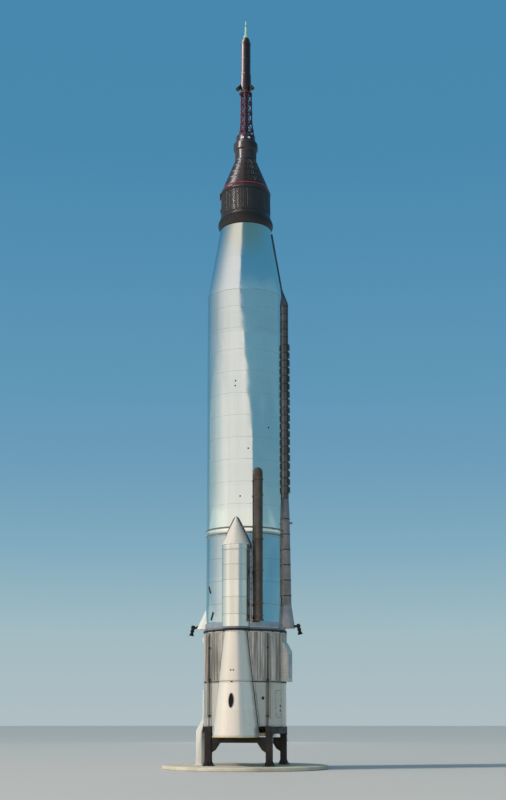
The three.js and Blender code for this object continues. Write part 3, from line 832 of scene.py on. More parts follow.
class Finishes(Enum):
    """Every finish on the rocket and its stand."""

    CONCRETE = Concrete("cast_concrete", "concrete", 0xDCD5C2, 0xBDB39C, 0.88)
    TANK = SteelSkin("tank_steel", "steel_skin", 0xE4E8DE, 0xCBD3CC, 0.2, 1.0, polish=(0.06, 0.14))
    TAPER = SteelSkin(
        "taper_steel", "steel_skin", 0xE2E9E3, 0xDAE3DC, 0.2, 1.0, 0.73, 18.54, 0.25, 0.9, polish=(0.1, 0.2)
    )
    SKIRT = SteelSkin(
        "skirt_steel", "steel_skin", 0xC9C4BA, 0xACA69C, 0.34, 0.65, 0.95, 3.27, 0.25, polish=(0.2, 0.34)
    )
    RIBBED = SteelSkin(
        "ribbed_steel", "steel_skin", 0xE2DED5, 0x7C7873, 0.34, 0.72, 2.0, 3.27, 0.1, 1.7, 8.0, (0.2, 0.34)
    )
    NACELLE = SteelSkin(
        "nacelle_steel", "nacelle_skin", 0xF4E9DA, 0xE0D4C2, 0.34, 0.5, 1.03, 1.2, 0.15, 0.35,
        polish=(0.2, 0.34),
    )
    NACELLE_TOP = SteelSkin(
        "nacelle_top_steel", "nacelle_skin", 0xE4E2D8, 0xC8C8BE, 0.24, 0.95, 0.64, 5.77, 0.15, 0.6,
        polish=(0.14, 0.26),
    )
    # A pale, mostly matte copy of the nacelle skin for the half-cone caps, so both facets read evenly
    # bright: painted sheen.
    CONE = SteelSkin(
        "nacelle_cone_skin", "nacelle_skin", 0xE9E2D6, 0xD8D0C2, 0.46, 0.25, 0.64, 5.77, 0.1, 0.3,
        polish=(0.36, 0.46),
    )
    SEAM = Paint("seam_steel", "steel_skin", 0xA9ABA6, 0x86898A, 0.36, 0.9, wear=0.1)
    WELD = Paint("weld_steel", "steel_skin", 0xBFC4BE, 0xA9B0AC, 0.3, 0.95, wear=0.03)
    WELD_DARK = Paint("weld_steel_dark", "steel_skin", 0x8E958F, 0x737B79, 0.34, 0.9, wear=0.05)
    RING_STEEL = Paint("ring_steel", "steel_skin", 0x85857F, 0x64645F, 0.5, 0.6, wear=0.15)
    COLLAR = Paint("collar_steel", "steel_skin", 0x8B939B, 0x6D757D, 0.5, 0.5, wear=0.15)
    PLATE = Paint("band_plate_steel", "steel_skin", 0xA4ABB4, 0x8C939C, 0.42, 0.6, wear=0.1)
    TRIM = Paint("trim_paint", "steel_skin", 0xA5978A, 0x8B7E72, 0.45, 0.2, wear=0.15)
    COVER = Paint("cover_paint", "pod_grey", 0xCFCBC2, 0xB3AFA6, 0.4, 0.2, wear=0.2)
    FAIRING = Paint("fairing_paint", "pod_grey", 0xA6A6A9, 0x84858A, 0.38, 0.2, wear=0.2)
    FASTENER = Paint("fastener_steel", "steel_skin", 0x8C8C88, 0x5E5E5A, 0.4, 0.9, wear=0.2)
    # The lip's yellow tint is a painted highlight: the bottom edge catching light from below.
    LIP = Paint("rolled_lip", "nacelle_skin", 0xDCCB8C, 0xB7A871, 0.42, 0.5, wear=0.25)
    DARK_STEEL = Paint("stand_paint", "dark_steel", 0x2B2320, 0x1A1513, 0.62, 0.1, worn=0x5A3E2A, wear=0.5)
    # Near-black for real dark joints and seams, also used as painted shade in the crease where each nacelle
    # flank meets the skirt.
    SHADOW = Paint("junction_seal", "dark_steel", 0x2A2C2F, 0x1B1C1E, 0.6, 0.2, wear=0.2)
    WHITE = Paint("white_paint", "white_paint", 0xF0E2D2, 0xDACBB8, 0.42, 0.0, worn=0x9A8F7C, wear=0.4)
    PIPE = Paint("pipe_paint", "pipe_brown", 0x4E453E, 0x38312C, 0.4, 0.3, worn=0x7A6852, wear=0.3)
    BAND = Paint("pipe_band", "pipe_brown", 0x6A5540, 0x493A2C, 0.45, 0.5, wear=0.3)
    POD = Paint("pod_paint", "pod_grey", 0x85888A, 0x63676A, 0.42, 0.3, wear=0.25)
    TUNNEL = Paint("tunnel_paint", "pod_grey", 0x4C5457, 0x343A3D, 0.42, 0.3, wear=0.25)
    POD_DARK = Paint("pod_cover", "pod_grey", 0x25282B, 0x17191B, 0.5, 0.3, wear=0.2)
    CAPSULE = Paint(
        "capsule_shingle", "capsule_black", 0x262123, 0x1E1A1B, 0.22, 0.06, 0x383234, 0.2,
        relief=0.05, gloss=0.03,
    )
    ADAPTER = Paint(
        "adapter_skin", "capsule_black", 0x2A2622, 0x211D1A, 0.2, 0.04, 0x36302A, 0.2,
        relief=0.03, gloss=0.02,
    )
    FLANGE = Paint("flange_paint", "capsule_black", 0x211E1D, 0x181615, 0.5, 0.1, wear=0.2, relief=0.1)
    RING = Paint("red_ring", "ring_red", 0x9C3440, 0x7A2630, 0.45, 0.0, worn=0xB87C74, wear=0.3)
    TOWER = Paint("tower_paint", "tower_maroon", 0x4C2E3A, 0x35222C, 0.4, 0.15, worn=0x7A5A56, wear=0.3)
    MOTOR = Paint(
        "motor_paint", "tower_maroon", 0x2A1A19, 0x1F1312, 0.24, 0.1, 0x3E2C26, 0.2, relief=0.04, gloss=0.05
    )
    NOSE = Paint(
        "nose_paint", "tower_maroon", 0x322326, 0x241A1C, 0.26, 0.15, wear=0.25, relief=0.05, gloss=0.05
    )
    PALE = Paint("spike_paint", "pale_green", 0xBBDCC6, 0x8FC0A6, 0.35, 0.0, wear=0.15)
    CREAM = Paint("nozzle_lining", "pale_green", 0xD9D2A8, 0xA89B6C, 0.5, 0.0, wear=0.3)
    ENGINE = HotMetal("bell_metal", "engine_metal", 0x8D8B88, 0x5B5957, 0.4, 0.9)
    VERNIER = Paint("vernier_paint", "vernier_black", 0x1B1A1B, 0x111011, 0.5, 0.35, worn=0x494540, wear=0.3)
    BRASS = Paint("fitting_metal", "engine_metal", 0x9C9180, 0x6E655A, 0.32, 0.9, wear=0.2)
    # Near-black for the small ports, slots, marks and plugs and the shell behind each nacelle opening:
    # painted shade that stands for the dark inside an opening.
    HOLE = Paint("opening_dark", "dark_steel", 0x141313, 0x0C0B0B, 0.8, 0.0, wear=0.1)


# Studio


WARM = (1.0, 0.73, 0.56)
HAZE = (1.0, 1.0, 0.8)
KEY_EDGES = (-54.0, -17.9)
FRONT_END = 20.0
TALL = 200.0


@dataclass(frozen=True)
class Softbox:
    """A soft area light round the rocket, between two azimuths as the camera sees them, with its glow."""

    name: str
    start: float
    end: float
    high: float
    glow: float
    colour: Point = WARM
    low: float = 0.5
    distance: float = 60.0

    def build(self, camera_azimuth: float) -> Piece:
        """Makes the light, facing the rocket's axis, hidden from the camera itself.

        Args:
            camera_azimuth: Where the camera stands, in degrees from the front.

        Returns:
            The light.
        """
        half = math.radians(self.end - self.start) / 2
        angle = math.radians(self.start + camera_azimuth) + half
        lamp = bpy.data.lights.new(self.name, "AREA")
        lamp.shape = "RECTANGLE"
        lamp.size = 2 * self.distance * math.tan(half)
        lamp.size_y = self.high - self.low
        lamp.energy = 4.0 * self.glow * lamp.size * lamp.size_y
        lamp.color = self.colour
        holder = in_scene(self.name, lamp)
        holder.location = around(angle, self.distance, (self.low + self.high) / 2)
        holder.rotation_euler = (math.radians(90), 0.0, angle)
        holder.visible_camera = False
        return holder


@dataclass
class Studio:
    """The camera at the photograph's place, the pale floor, the backdrop's gradient and the soft lights."""

    azimuth: float = 13.0
    distance: float = 48.0
    eye: float = 1.82
    tilt: float = 7.76
    focal_pixels: float = 1238.0
    shift: float = 0.19
    aside_pixels: float = 7.7
    floor_radius: float = 400.0
    sun_azimuth: float = -58.0
    sun_height: float = 42.0
    sun_strength: float = 2.3
    key: float = 0.62
    fade: tuple[Pair, ...] = (
        (-62, 0.96), (-70, 0.9), (-78, 0.77), (-86, 0.63),
        (-95, 0.48), (-105, 0.33), (-117, 0.22), (-132, 0.12),
    )
    front_strips: int = 16
    front_tops: Pair = (39.0, 27.0)
    weak: tuple[Softbox, ...] = (
        Softbox("haze_left", -132.0, -54.0, 33.0, 0.075, HAZE),
        Softbox("low_left", -140.0, -54.0, 20.5, 0.12, HAZE),
        Softbox("fill_front", -10.0, 52.0, 47.0, 0.035, HAZE, 30.0),
        Softbox("fill_right", 52.0, 114.0, 47.0, 0.03, HAZE, 30.0),
        Softbox("low_right", 50.0, 110.0, 19.0, 0.1, HAZE, 11.0),
        Softbox("rim_back", 173.0, 187.0, 90.0, 0.3, (1.0, 0.85, 0.75)),
    )
    glints: tuple[tuple[float, float, float, tuple[str, ...]], ...] = (
        (-68.0, -50.0, 14.0, ("recovery_", "neck_", "canister_shell")),
        (-98.0, -70.0, 5.5, ("capsule_shell", "cone_")),
        (-60.0, -57.0, 16.0, ("adapter_shell", "adapter_beads")),
        (-39.0, -37.5, 16.0, ("adapter_shell", "adapter_beads")),
        (-112.0, -66.0, 9.0, ("motor_", "nose_cone")),
        (-75.0, -45.0, 3.0, ("tower_",)),
    )
    backdrop: tuple[tuple[float, tuple], ...] = (
        (0.0, (0.43, 0.515, 0.546, 1.0)),
        (0.07, (0.36, 0.497, 0.54, 1.0)),
        (0.137, (0.22, 0.407, 0.52, 1.0)),
        (0.2, (0.155, 0.34, 0.491, 1.0)),
        (0.27, (0.115, 0.307, 0.47, 1.0)),
        (0.36, (0.086, 0.273, 0.449, 1.0)),
        (0.43, (0.069, 0.251, 0.423, 1.0)),
        (0.6, (0.064, 0.24, 0.42, 1.0)),
        (0.78, (0.08, 0.205, 0.26, 1.0)),
        (1.0, (0.07, 0.17, 0.21, 1.0)),
    )

    def build(self) -> None:
        """Makes the whole studio."""
        bpy.context.scene.view_settings.view_transform = "Standard"
        self.camera()
        self.floor()
        self.sky()
        self.sun()
        self.softboxes()

    def softboxes(self) -> None:
        """Makes the key light with its fade to the left, the stepped front light and the weak lights."""
        start, edge = KEY_EDGES
        boxes = [Softbox("key", start, edge, TALL, self.key)]
        for end, share in self.fade:
            boxes.append(Softbox(f"key_fade_{-end:.0f}", end, start, TALL, self.key * share))
            start = end
        edges = spread(edge, FRONT_END, self.front_strips + 1)
        tops = spread(*self.front_tops, self.front_strips)
        for i, (left, right, top) in enumerate(zip(edges, edges[1:], tops)):
            boxes.append(Softbox(f"front_{i}", left, right, top, self.key))
        for box in (*boxes, *self.weak):
            box.build(self.azimuth)

    def glint(self) -> None:
        """Makes the bright lights that only the dark glossy pieces of the spacecraft and the tower see."""
        pieces = [piece for piece in bpy.data.objects if piece.type == "MESH"]
        for index, (start, end, glow, names) in enumerate(self.glints):
            group = bpy.data.collections.new(f"glossy_pieces_{index}")
            for piece in pieces:
                if piece.name.startswith(names):
                    group.objects.link(piece)
            box = Softbox(f"glint_{index}", start, end, TALL, glow, (1.0, 0.93, 0.92))
            box.build(self.azimuth).light_linking.receiver_collection = group

    def sun(self) -> None:
        """A soft distant light that models the painted pieces, and shows in no reflection."""
        lamp = bpy.data.lights.new("sun_left", "SUN")
        lamp.energy = self.sun_strength
        lamp.angle = math.radians(6)
        lamp.color = (1.0, 0.94, 0.85)
        holder = in_scene("sun_left", lamp)
        holder.rotation_euler = (math.radians(90 - self.sun_height), 0.0, math.radians(self.sun_azimuth))
        holder.visible_glossy = False

    def camera(self) -> None:
        """Stands the camera at the photograph's azimuth and eye height, tilted up at the rocket."""
        lens = bpy.data.cameras.new("Camera")
        lens.sensor_width = SENSOR
        lens.lens = self.focal_pixels * SENSOR / IMAGE_TALL
        lens.shift_y = self.shift
        lens.clip_end = 1000.0
        holder = in_scene("Camera", lens)
        angle = math.radians(self.azimuth)
        holder.location = around(angle, self.distance, self.eye)
        swing = math.atan(self.aside_pixels / self.focal_pixels)
        holder.rotation_euler = (math.radians(90 + self.tilt), 0.0, angle - swing)
        bpy.context.scene.camera = holder

    def floor(self) -> None:
        """Lays a wide pale floor under the plinth."""
        form = Form()
        form.points = [around(-angle, self.floor_radius, 0.0) for angle in reversed(turns(96))]
        form.faces = [tuple(range(96))]
        floor = form.made("floor")
        material = bpy.data.materials.new("floor_paper")
        material.use_nodes = True
        shader = material.node_tree.nodes["Principled BSDF"]
        shader.inputs["Base Color"].default_value = (0.58, 0.56, 0.53, 1.0)
        shader.inputs["Roughness"].default_value = 0.9
        floor.data.materials.append(material)

    def sky(self) -> None:
        """A plain gradient, pale at the horizon and bluer above."""
        world = bpy.data.worlds.new("World")
        bpy.context.scene.world = world
        world.use_nodes = True
        sketch = NodeSketch(world.node_tree)
        place = sketch.node("ShaderNodeTexCoord").outputs["Generated"]
        up = sketch.node("ShaderNodeSeparateXYZ", {0: place}).outputs[2]
        sketch.put(world.node_tree.nodes["Background"].inputs["Color"], sketch.steps(up, self.backdrop))


# What repeats


class Pattern(Enum):
    """The small parts that are set on a surface."""

    RIVET = "rivet"
    BOLT = "bolt"
    CLIP = "clip"


class Repeater:
    """Builds the node trees that make what repeats, and uses them on host points or paths."""

    OUT = "out"
    ALONG = "along"

    def __init__(self) -> None:
        """Starts with no trees."""
        self.trees: dict[str, Tree] = {}

    def tree(self, name: str, sizes: dict[str, float]) -> tuple[NodeSketch, dict[str, Socket]]:
        """A new tree with a geometry socket, a finish, a seed and a named input for each size.

        Args:
            name: The tree's name.
            sizes: The named inputs and their usual values.

        Returns:
            A sketch of the tree and what its inputs give.
        """
        tree = bpy.data.node_groups.new(name, "GeometryNodeTree")
        face = tree.interface
        face.new_socket("Geometry", in_out="OUTPUT", socket_type="NodeSocketGeometry")
        for label, kind in (("Geometry", "Geometry"), ("Finish", "Material"), ("Seed", "Int")):
            face.new_socket(label, in_out="INPUT", socket_type=f"NodeSocket{kind}")
        for label, value in sizes.items():
            face.new_socket(label, in_out="INPUT", socket_type="NodeSocketFloat").default_value = value
        sketch = NodeSketch(tree)
        given = sketch.node("NodeGroupInput").outputs
        return sketch, {item.name: item for item in given if item.name}

    def closed(self, sketch: NodeSketch, given: dict[str, Socket], shape: Socket) -> Tree:
        """Ends a tree: instances made real, then the finish.

        Args:
            sketch: The tree's sketch.
            given: What its inputs give.
            shape: What it has made.

        Returns:
            The tree.
        """
        real = sketch.out("GeometryNodeRealizeInstances", {0: shape})
        painted = sketch.out("GeometryNodeSetMaterial", {"Geometry": real, "Material": given["Finish"]})
        sketch.node("NodeGroupOutput", {0: painted})
        return sketch.tree

    def stub(self, sketch: NodeSketch, corners: int, top: Socket, bottom: Socket, depth: Socket) -> Socket:
        """A short upright stub with a number of corners, that may taper."""
        inputs = {"Vertices": corners, "Radius Top": top, "Radius Bottom": bottom, "Depth": depth}
        return sketch.out("GeometryNodeMeshCone", inputs)

    def part(
        self, sketch: NodeSketch, pattern: Pattern, width: Socket, height: Socket, length: Socket
    ) -> Socket:
        """One small part, with its foot at the origin and its outward direction up.

        Args:
            sketch: The tree's sketch.
            pattern: Which small part.
            width: Its width.
            height: How far it stands out.
            length: Its length, for a clip.

        Returns:
            The part's mesh.
        """
        half = sketch.times(width, 0.5)
        if pattern is Pattern.RIVET:
            return self.stub(sketch, 8, sketch.times(half, 0.55), half, height)
        if pattern is Pattern.BOLT:
            reach = sketch.times(half, 1.35)
            join = sketch.node("GeometryNodeJoinGeometry")
            sketch.put(join.inputs[0], self.stub(sketch, 6, half, half, height))
            sketch.put(join.inputs[0], self.stub(sketch, 12, reach, reach, sketch.times(height, 0.25)))
            return join.outputs[0]
        size = sketch.out("ShaderNodeCombineXYZ", {0: length, 1: width, 2: height})
        cube = sketch.out("GeometryNodeMeshCube", {"Size": size})
        lift = sketch.out("ShaderNodeCombineXYZ", {2: sketch.times(height, 0.4)})
        return sketch.out("GeometryNodeTransform", {"Geometry": cube, "Translation": lift})

    def small_parts(self, pattern: Pattern) -> Tree:
        """The tree that sets one small part on each host point, facing along the point's own direction.

        Args:
            pattern: Which small part.

        Returns:
            The tree.
        """
        sketch, given = self.tree(f"set_{pattern.value}s", {"Width": 0.02, "Height": 0.01, "Length": 0.02})
        part = self.part(sketch, pattern, given["Width"], given["Height"], given["Length"])
        out, along = (
            sketch.out("GeometryNodeInputNamedAttribute", {"Name": name}, data_type="FLOAT_VECTOR")
            for name in (self.OUT, self.ALONG)
        )
        align = "FunctionNodeAlignRotationToVector"
        facing = sketch.out(align, {"Vector": out}, axis="Z")
        turn = sketch.out(align, {"Rotation": facing, "Vector": along}, axis="X", pivot_axis="Z")
        inputs = {2: 0.95, 3: 1.05, "Seed": given["Seed"]}
        vary = sketch.node("FunctionNodeRandomValue", inputs, data_type="FLOAT").outputs[1]
        inputs = {"Points": given["Geometry"], "Instance": part, "Rotation": turn, "Scale": vary}
        return self.closed(sketch, given, sketch.out("GeometryNodeInstanceOnPoints", inputs))

    def bar_tree(self) -> Tree:
        """The tree that makes a round bar along every path of the host.

        Returns:
            The tree.
        """
        sketch, given = self.tree("bars_along_paths", {"Radius": 0.01, "Sides": 8.0})
        path = sketch.out("GeometryNodeMeshToCurve", {0: given["Geometry"]})
        inputs = {"Resolution": given["Sides"], "Radius": given["Radius"]}
        outline = sketch.out("GeometryNodeCurvePrimitiveCircle", inputs)
        bar = sketch.out("GeometryNodeCurveToMesh", {0: path, 1: outline, "Fill Caps": True})
        return self.closed(sketch, given, bar)

    def hoop_tree(self) -> Tree:
        """The tree that lays level hoops round the rocket's axis, one above the other.

        Returns:
            The tree.
        """
        sizes = {"Level": 0.0, "Pitch": 1.0, "Count": 1.0, "Low Radius": 1.0, "High Radius": 1.0}
        sketch, given = self.tree("level_hoops", {**sizes, "Width": 0.02, "Proud": 0.004})
        start = sketch.out("ShaderNodeCombineXYZ", {2: given["Level"]})
        step = sketch.out("ShaderNodeCombineXYZ", {2: given["Pitch"]})
        inputs = {"Count": given["Count"], "Start Location": start, "Offset": step}
        line = sketch.out("GeometryNodeMeshLine", inputs)
        last = sketch.math("MAXIMUM", sketch.math("SUBTRACT", given["Count"], 1.0), 1.0)
        share = sketch.math("DIVIDE", sketch.out("GeometryNodeInputIndex"), last)
        rise = sketch.math("SUBTRACT", given["High Radius"], given["Low Radius"])
        radius = sketch.math("ADD", given["Low Radius"], sketch.times(rise, share))
        scale = sketch.out("ShaderNodeCombineXYZ", {0: radius, 1: radius, 2: 1.0})
        circle = sketch.out("GeometryNodeCurvePrimitiveCircle", {"Resolution": 160, "Radius": 1.0})
        inputs = {"Points": line, "Instance": circle, "Scale": scale}
        placed = sketch.out("GeometryNodeInstanceOnPoints", inputs)
        real = sketch.out("GeometryNodeRealizeInstances", {0: placed})
        inputs = {"Width": sketch.times(given["Proud"], 2.0), "Height": given["Width"]}
        section = sketch.out("GeometryNodeCurvePrimitiveQuadrilateral", inputs)
        return self.closed(sketch, given, sketch.out("GeometryNodeCurveToMesh", {0: real, 1: section}))

    def grown(
        self,
        host: Piece,
        key: str,
        maker: Callable[[], Tree],
        finish: Finishes,
        sizes: dict[str, float],
        body: str = AIRFRAME,
    ) -> Piece:
        """Runs a tree on a host, keeps the result as the host's plain mesh and dresses it.

        Args:
            host: The object whose points or paths the tree reads.
            key: Under which name the tree is kept.
            maker: What makes the tree when it is first needed.
            finish: What the parts are made of.
            sizes: Values for the tree's named inputs.
            body: The CAD body that the parts move with.

        Returns:
            The piece.
        """
        if key not in self.trees:
            self.trees[key] = maker()
        tree = self.trees[key]
        modifier = host.modifiers.new("Repeat", "NODES")
        modifier.node_group = tree
        items = [item for item in tree.interface.items_tree if item.in_out == "INPUT"]
        sockets = {item.name: item.identifier for item in items}
        modifier[sockets["Finish"]] = finish.value.material()
        modifier[sockets["Seed"]] = SEED
        for label, value in sizes.items():
            modifier[sockets[label]] = float(value)
        host.update_tag()
        bpy.context.view_layer.update()
        return dressed(smoothed(baked(host)), finish, body)

    def set_on(
        self,
        name: str,
        pattern: Pattern,
        sites: Sequence[Site],
        size: Point,
        finish: Finishes = Finishes.FASTENER,
        body: str = AIRFRAME,
    ) -> Piece:
        """Sets small parts on a surface.

        Args:
            name: The piece's name.
            pattern: Which small part.
            sites: Each part's place, its outward direction and, for a clip, the direction of its length.
            size: The width, the height and the length of a part.
            finish: What the parts are made of.
            body: The CAD body that they move with.

        Returns:
            The piece.
        """
        mesh = bpy.data.meshes.new(name)
        mesh.from_pydata([tuple(site[0]) for site in sites], [], [])
        for label, place in ((self.OUT, 1), (self.ALONG, 2)):
            values = mesh.attributes.new(label, "FLOAT_VECTOR", "POINT")
            for i, site in enumerate(sites):
                values.data[i].vector = site[place] if len(site) > place else UP
        sizes = dict(zip(("Width", "Height", "Length"), size))
        host = in_scene(name, mesh)
        return self.grown(host, pattern.value, lambda: self.small_parts(pattern), finish, sizes, body)

    def bars(
        self, name: str, paths: Sequence[Sequence[Point]], finish: Finishes, radius: float, sides: int = 8
    ) -> Piece:
        """Makes a round bar along each path, in one piece.

        Args:
            name: The piece's name.
            paths: The points of each path.
            finish: What the bars are made of.
            radius: Their radius.
            sides: How many facets go round each.

        Returns:
            The piece.
        """
        mesh = bpy.data.meshes.new(name)
        points: list[Point] = []
        edges: list[tuple[int, int]] = []
        for path in paths:
            edges.extend((len(points) + i, len(points) + i + 1) for i in range(len(path) - 1))
            points.extend(path)
        mesh.from_pydata(points, edges, [])
        sizes = {"Radius": radius, "Sides": sides}
        return self.grown(in_scene(name, mesh), "bars", self.bar_tree, finish, sizes)

    def hoops(
        self,
        name: str,
        levels: tuple[float, float, int],
        radii: Pair,
        finish: Finishes,
        width: float = 0.02,
        proud: float = 0.004,
    ) -> Piece:
        """Lays hoops round the rocket's axis.

        Args:
            name: The piece's name.
            levels: The lowest hoop's level, the step to the next and how many there are.
            radii: The radius at the lowest hoop and at the highest.
            finish: What the hoops are made of.
            width: How wide a hoop is.
            proud: How far it stands out.

        Returns:
            The piece.
        """
        labels = ("Level", "Pitch", "Count", "Low Radius", "High Radius", "Width", "Proud")
        sizes = dict(zip(labels, (*levels, *radii, width, proud)))
        host = in_scene(name, bpy.data.meshes.new(name))
        return self.grown(host, "hoops", self.hoop_tree, finish, sizes)


# Shared sizes


@dataclass(frozen=True)
class Levels:
    """Heights of the joints between the rocket's sections."""

    plinth_top: float = 0.14
    rim: float = 1.2
    skirt_rim: float = 1.6
    seam: float = 3.27
    skirt_top: float = 5.17
    fuel_tank: float = 5.31
    ring_pair: float = 8.865
    oxidizer: float = 9.155
    taper: float = 18.54
    adapter: float = 21.45
    capsule: float = 23.1
    recovery: float = 24.45
    canister: float = 25.24
    tower: float = 25.47
    motor: float = 27.42
    nose: float = 29.6
    tip: float = 30.64


LEVEL = Levels()
TANK_RADIUS = 1.525
BASE_RADIUS = 1.55
TAPER_TOP_RADIUS = 1.035
SKIRT_RADIUS = 1.58
SKIRT_SIDES = (math.pi / 2, -math.pi / 2)
GROOVE = 0.008
FRONT_AND_REAR = (("front", 0.0), ("rear", math.pi))
SMALL_RIVET = (0.016, 0.006, 0.016)
REPEAT = Repeater()


@dataclass
class Sided:
    """A sub-assembly that is drawn at the front or on the right, and turned to its own side."""

    name: str
    turn: float

    def put(self, form: Form, name: str, finish: Finishes, *nodes: str) -> None:
        """Turns a form to this side and finishes it, with the side's name after its own."""
        nodes = tuple(f"{node}_{self.name}" for node in nodes)
        form.turned(self.turn).finished(f"{name}_{self.name}", finish, *nodes)

    def stud(
        self,
        name: str,
        pattern: Pattern,
        sites: Iterable[Site],
        size: Point,
        finish: Finishes = Finishes.FASTENER,
    ) -> None:
        """Sets small parts on this side, with the side's name after their own."""
        turned = [tuple(spun(vector, self.turn) for vector in site) for site in sites]
        REPEAT.set_on(f"{name}_{self.name}", pattern, turned, size, finish)


def raised(sites: Iterable[Site], proud: float) -> list[Site]:
    """Sites that are moved outwards by a distance."""
    return [(point + out * proud, out) for point, out in sites]


# Plinth and stand


@dataclass
class Plinth:
    """The round concrete slab that everything stands on."""

    radius: float = 3.17
    chamfer: Pair = (0.02, 0.03)
    nosing: float = 0.03
    joints: int = 8
    joint: Pair = (0.012, 0.0015)

    def build(self) -> None:
        """Casts the slab and fills its joints."""
        radius, top = self.radius, LEVEL.plinth_top
        across, up = self.chamfer
        profile = [(0.0, 0.0), (radius - across, 0.0), (radius, up), (radius, top), (0.0, top)]
        lathed("plinth_slab", softened(profile, self.nosing, 4), Finishes.CONCRETE, 192, "plinth")
        joints = Form()
        reaches = spread(0.4, radius - 0.05, 6)
        for angle in turns(self.joints, 0.5):
            joints.ribbon([(around(angle, reach, top), UP) for reach in reaches], *self.joint)
        joints.finished("plinth_joints", Finishes.SHADOW)


@dataclass
class Stand:
    """Two dark side frames, two cross ties with haunches, the white column on the left and the masts."""

    feet: tuple[Pair, ...] = ((-1.106, -1.32), (-1.82, 1.2), (1.22, -1.32), (1.26, 1.2))
    post: float = 0.23
    plate: float = 0.4
    plate_thick: float = 0.03
    gusset_thick: float = 0.008
    cap_levels: Pair = (1.29, 1.325)
    tie_bolts: Pair = (1.06, 1.13)
    column_x: float = -1.785
    column_foot: tuple[float, float, float] = (0.16, 0.26, 0.025)
    strap_bolts: Pair = (2.05, 2.9)
    mast_angles: tuple[float, ...] = (-43.5, 44.0, 136.0, 223.5)
    mast_levels: Pair = (1.6, 5.1)
    mast_radius: float = 0.022
    mast_gap: float = 0.058
    clamps: tuple[float, ...] = (2.0, 3.35, 4.55)

    def build(self) -> None:
        """Makes the frames, the ties, the column and what holds them together."""
        copies = [(f"stand_side_{side}", f"stand_frame_{side}") for side in ("left", "right")]
        copies += [(f"stand_cross_tie_{end}", f"stand_tie_{end}") for end, _ in FRONT_AND_REAR]
        for node, name in copies:
            refined(node, name, 0.012, Finishes.DARK_STEEL)
        refined("side_column", "white_column", 0.014, Finishes.WHITE)
        self.gussets()
        self.masts()
        self.bolts()

    def masts(self) -> None:
        """Runs a dark tube and a pale conduit up the skirt from each frame, with their clamps."""
        tubes = []
        conduits = []
        clamps = []
        low, high = self.mast_levels
        reach = (SKIRT_RADIUS + self.mast_gap,) * 2
        for degrees in self.mast_angles:
            angle = math.radians(degrees)
            beside = angle + math.copysign(0.066, math.sin(2 * angle))
            tubes.append(upright(angle, reach, (low, high)))
            conduits.append(upright(beside, reach, (low + 0.3, high - 0.1)))
            clamps.extend((*site, UP) for site in sites_at([angle], SKIRT_RADIUS + 0.02, self.clamps))
        REPEAT.bars("skirt_masts", tubes, Finishes.TUNNEL, self.mast_radius, 14)
        REPEAT.bars("skirt_conduits", conduits, Finishes.TRIM, self.mast_radius, 10)
        REPEAT.set_on("mast_clamps", Pattern.CLIP, clamps, (0.07, 0.07, 0.06), Finishes.POD_DARK)

    def gussets(self) -> None:
        """Welds a triangular plate to each side of each post's foot, and a cap plate under each beam."""
        form = Form()
        half, thick = self.post / 2, self.gusset_thick
        base = LEVEL.plinth_top + self.plate_thick
        inner, outer = half - 0.004, half + 0.075
        outline = [(inner, base), (outer, base), (outer, base + 0.03), (inner, base + 0.22)]
        cap = half + 0.02
        low, high = self.cap_levels
        for x, y in self.feet:
            for quarter in range(4):
                rib = Form().prism(outline, -thick, thick).turned(quarter * math.pi / 2)
                form.add(rib.shifted((x, y, 0)))
            form.block((x - cap, y - cap, low), (x + cap, y + cap, high))
        form.finished("stand_gussets", Finishes.DARK_STEEL, bevel=0.003, cuts=1)

    def bolts(self) -> None:
        """Sets the anchor bolts of the posts and the column, and the bolts of the strap and the ties."""
        plate_top = LEVEL.plinth_top + 0.031
        reach = self.plate / 2 - 0.045
        corners = [(a * reach, b * reach) for a in BOTH_SIDES for b in BOTH_SIDES]
        anchors = [(Vector((x + a, y + b, plate_top)), UP) for x, y in self.feet for a, b in corners]
        for x, y in self.feet:
            side = math.copysign(1, x)
            face, out = x + side * self.post / 2, Vector((side, 0, 0))
            places = [(y + b * 0.05, z) for z in self.tie_bolts for b in BOTH_SIDES]
            anchors.extend((Vector((face, *place)), out) for place in places)
        REPEAT.set_on("anchor_bolts", Pattern.BOLT, anchors, (0.042, 0.03, 0.04))
        outer = -SKIRT_RADIUS - 0.061
        levels = spread(*self.strap_bolts, 5)
        strap = [(Vector((outer, b * 0.14, z)), -RIGHT) for b in BOTH_SIDES for z in levels]
        REPEAT.set_on("strap_bolts", Pattern.BOLT, strap, (0.034, 0.018, 0.04))
        half, deep, thick = self.column_foot
        x, base = self.column_x, LEVEL.plinth_top
        foot = Form().block((x - half, -deep, base), (x + half, deep, base + thick))
        foot.finished("column_foot", Finishes.WHITE, bevel=0.004)


# Booster section


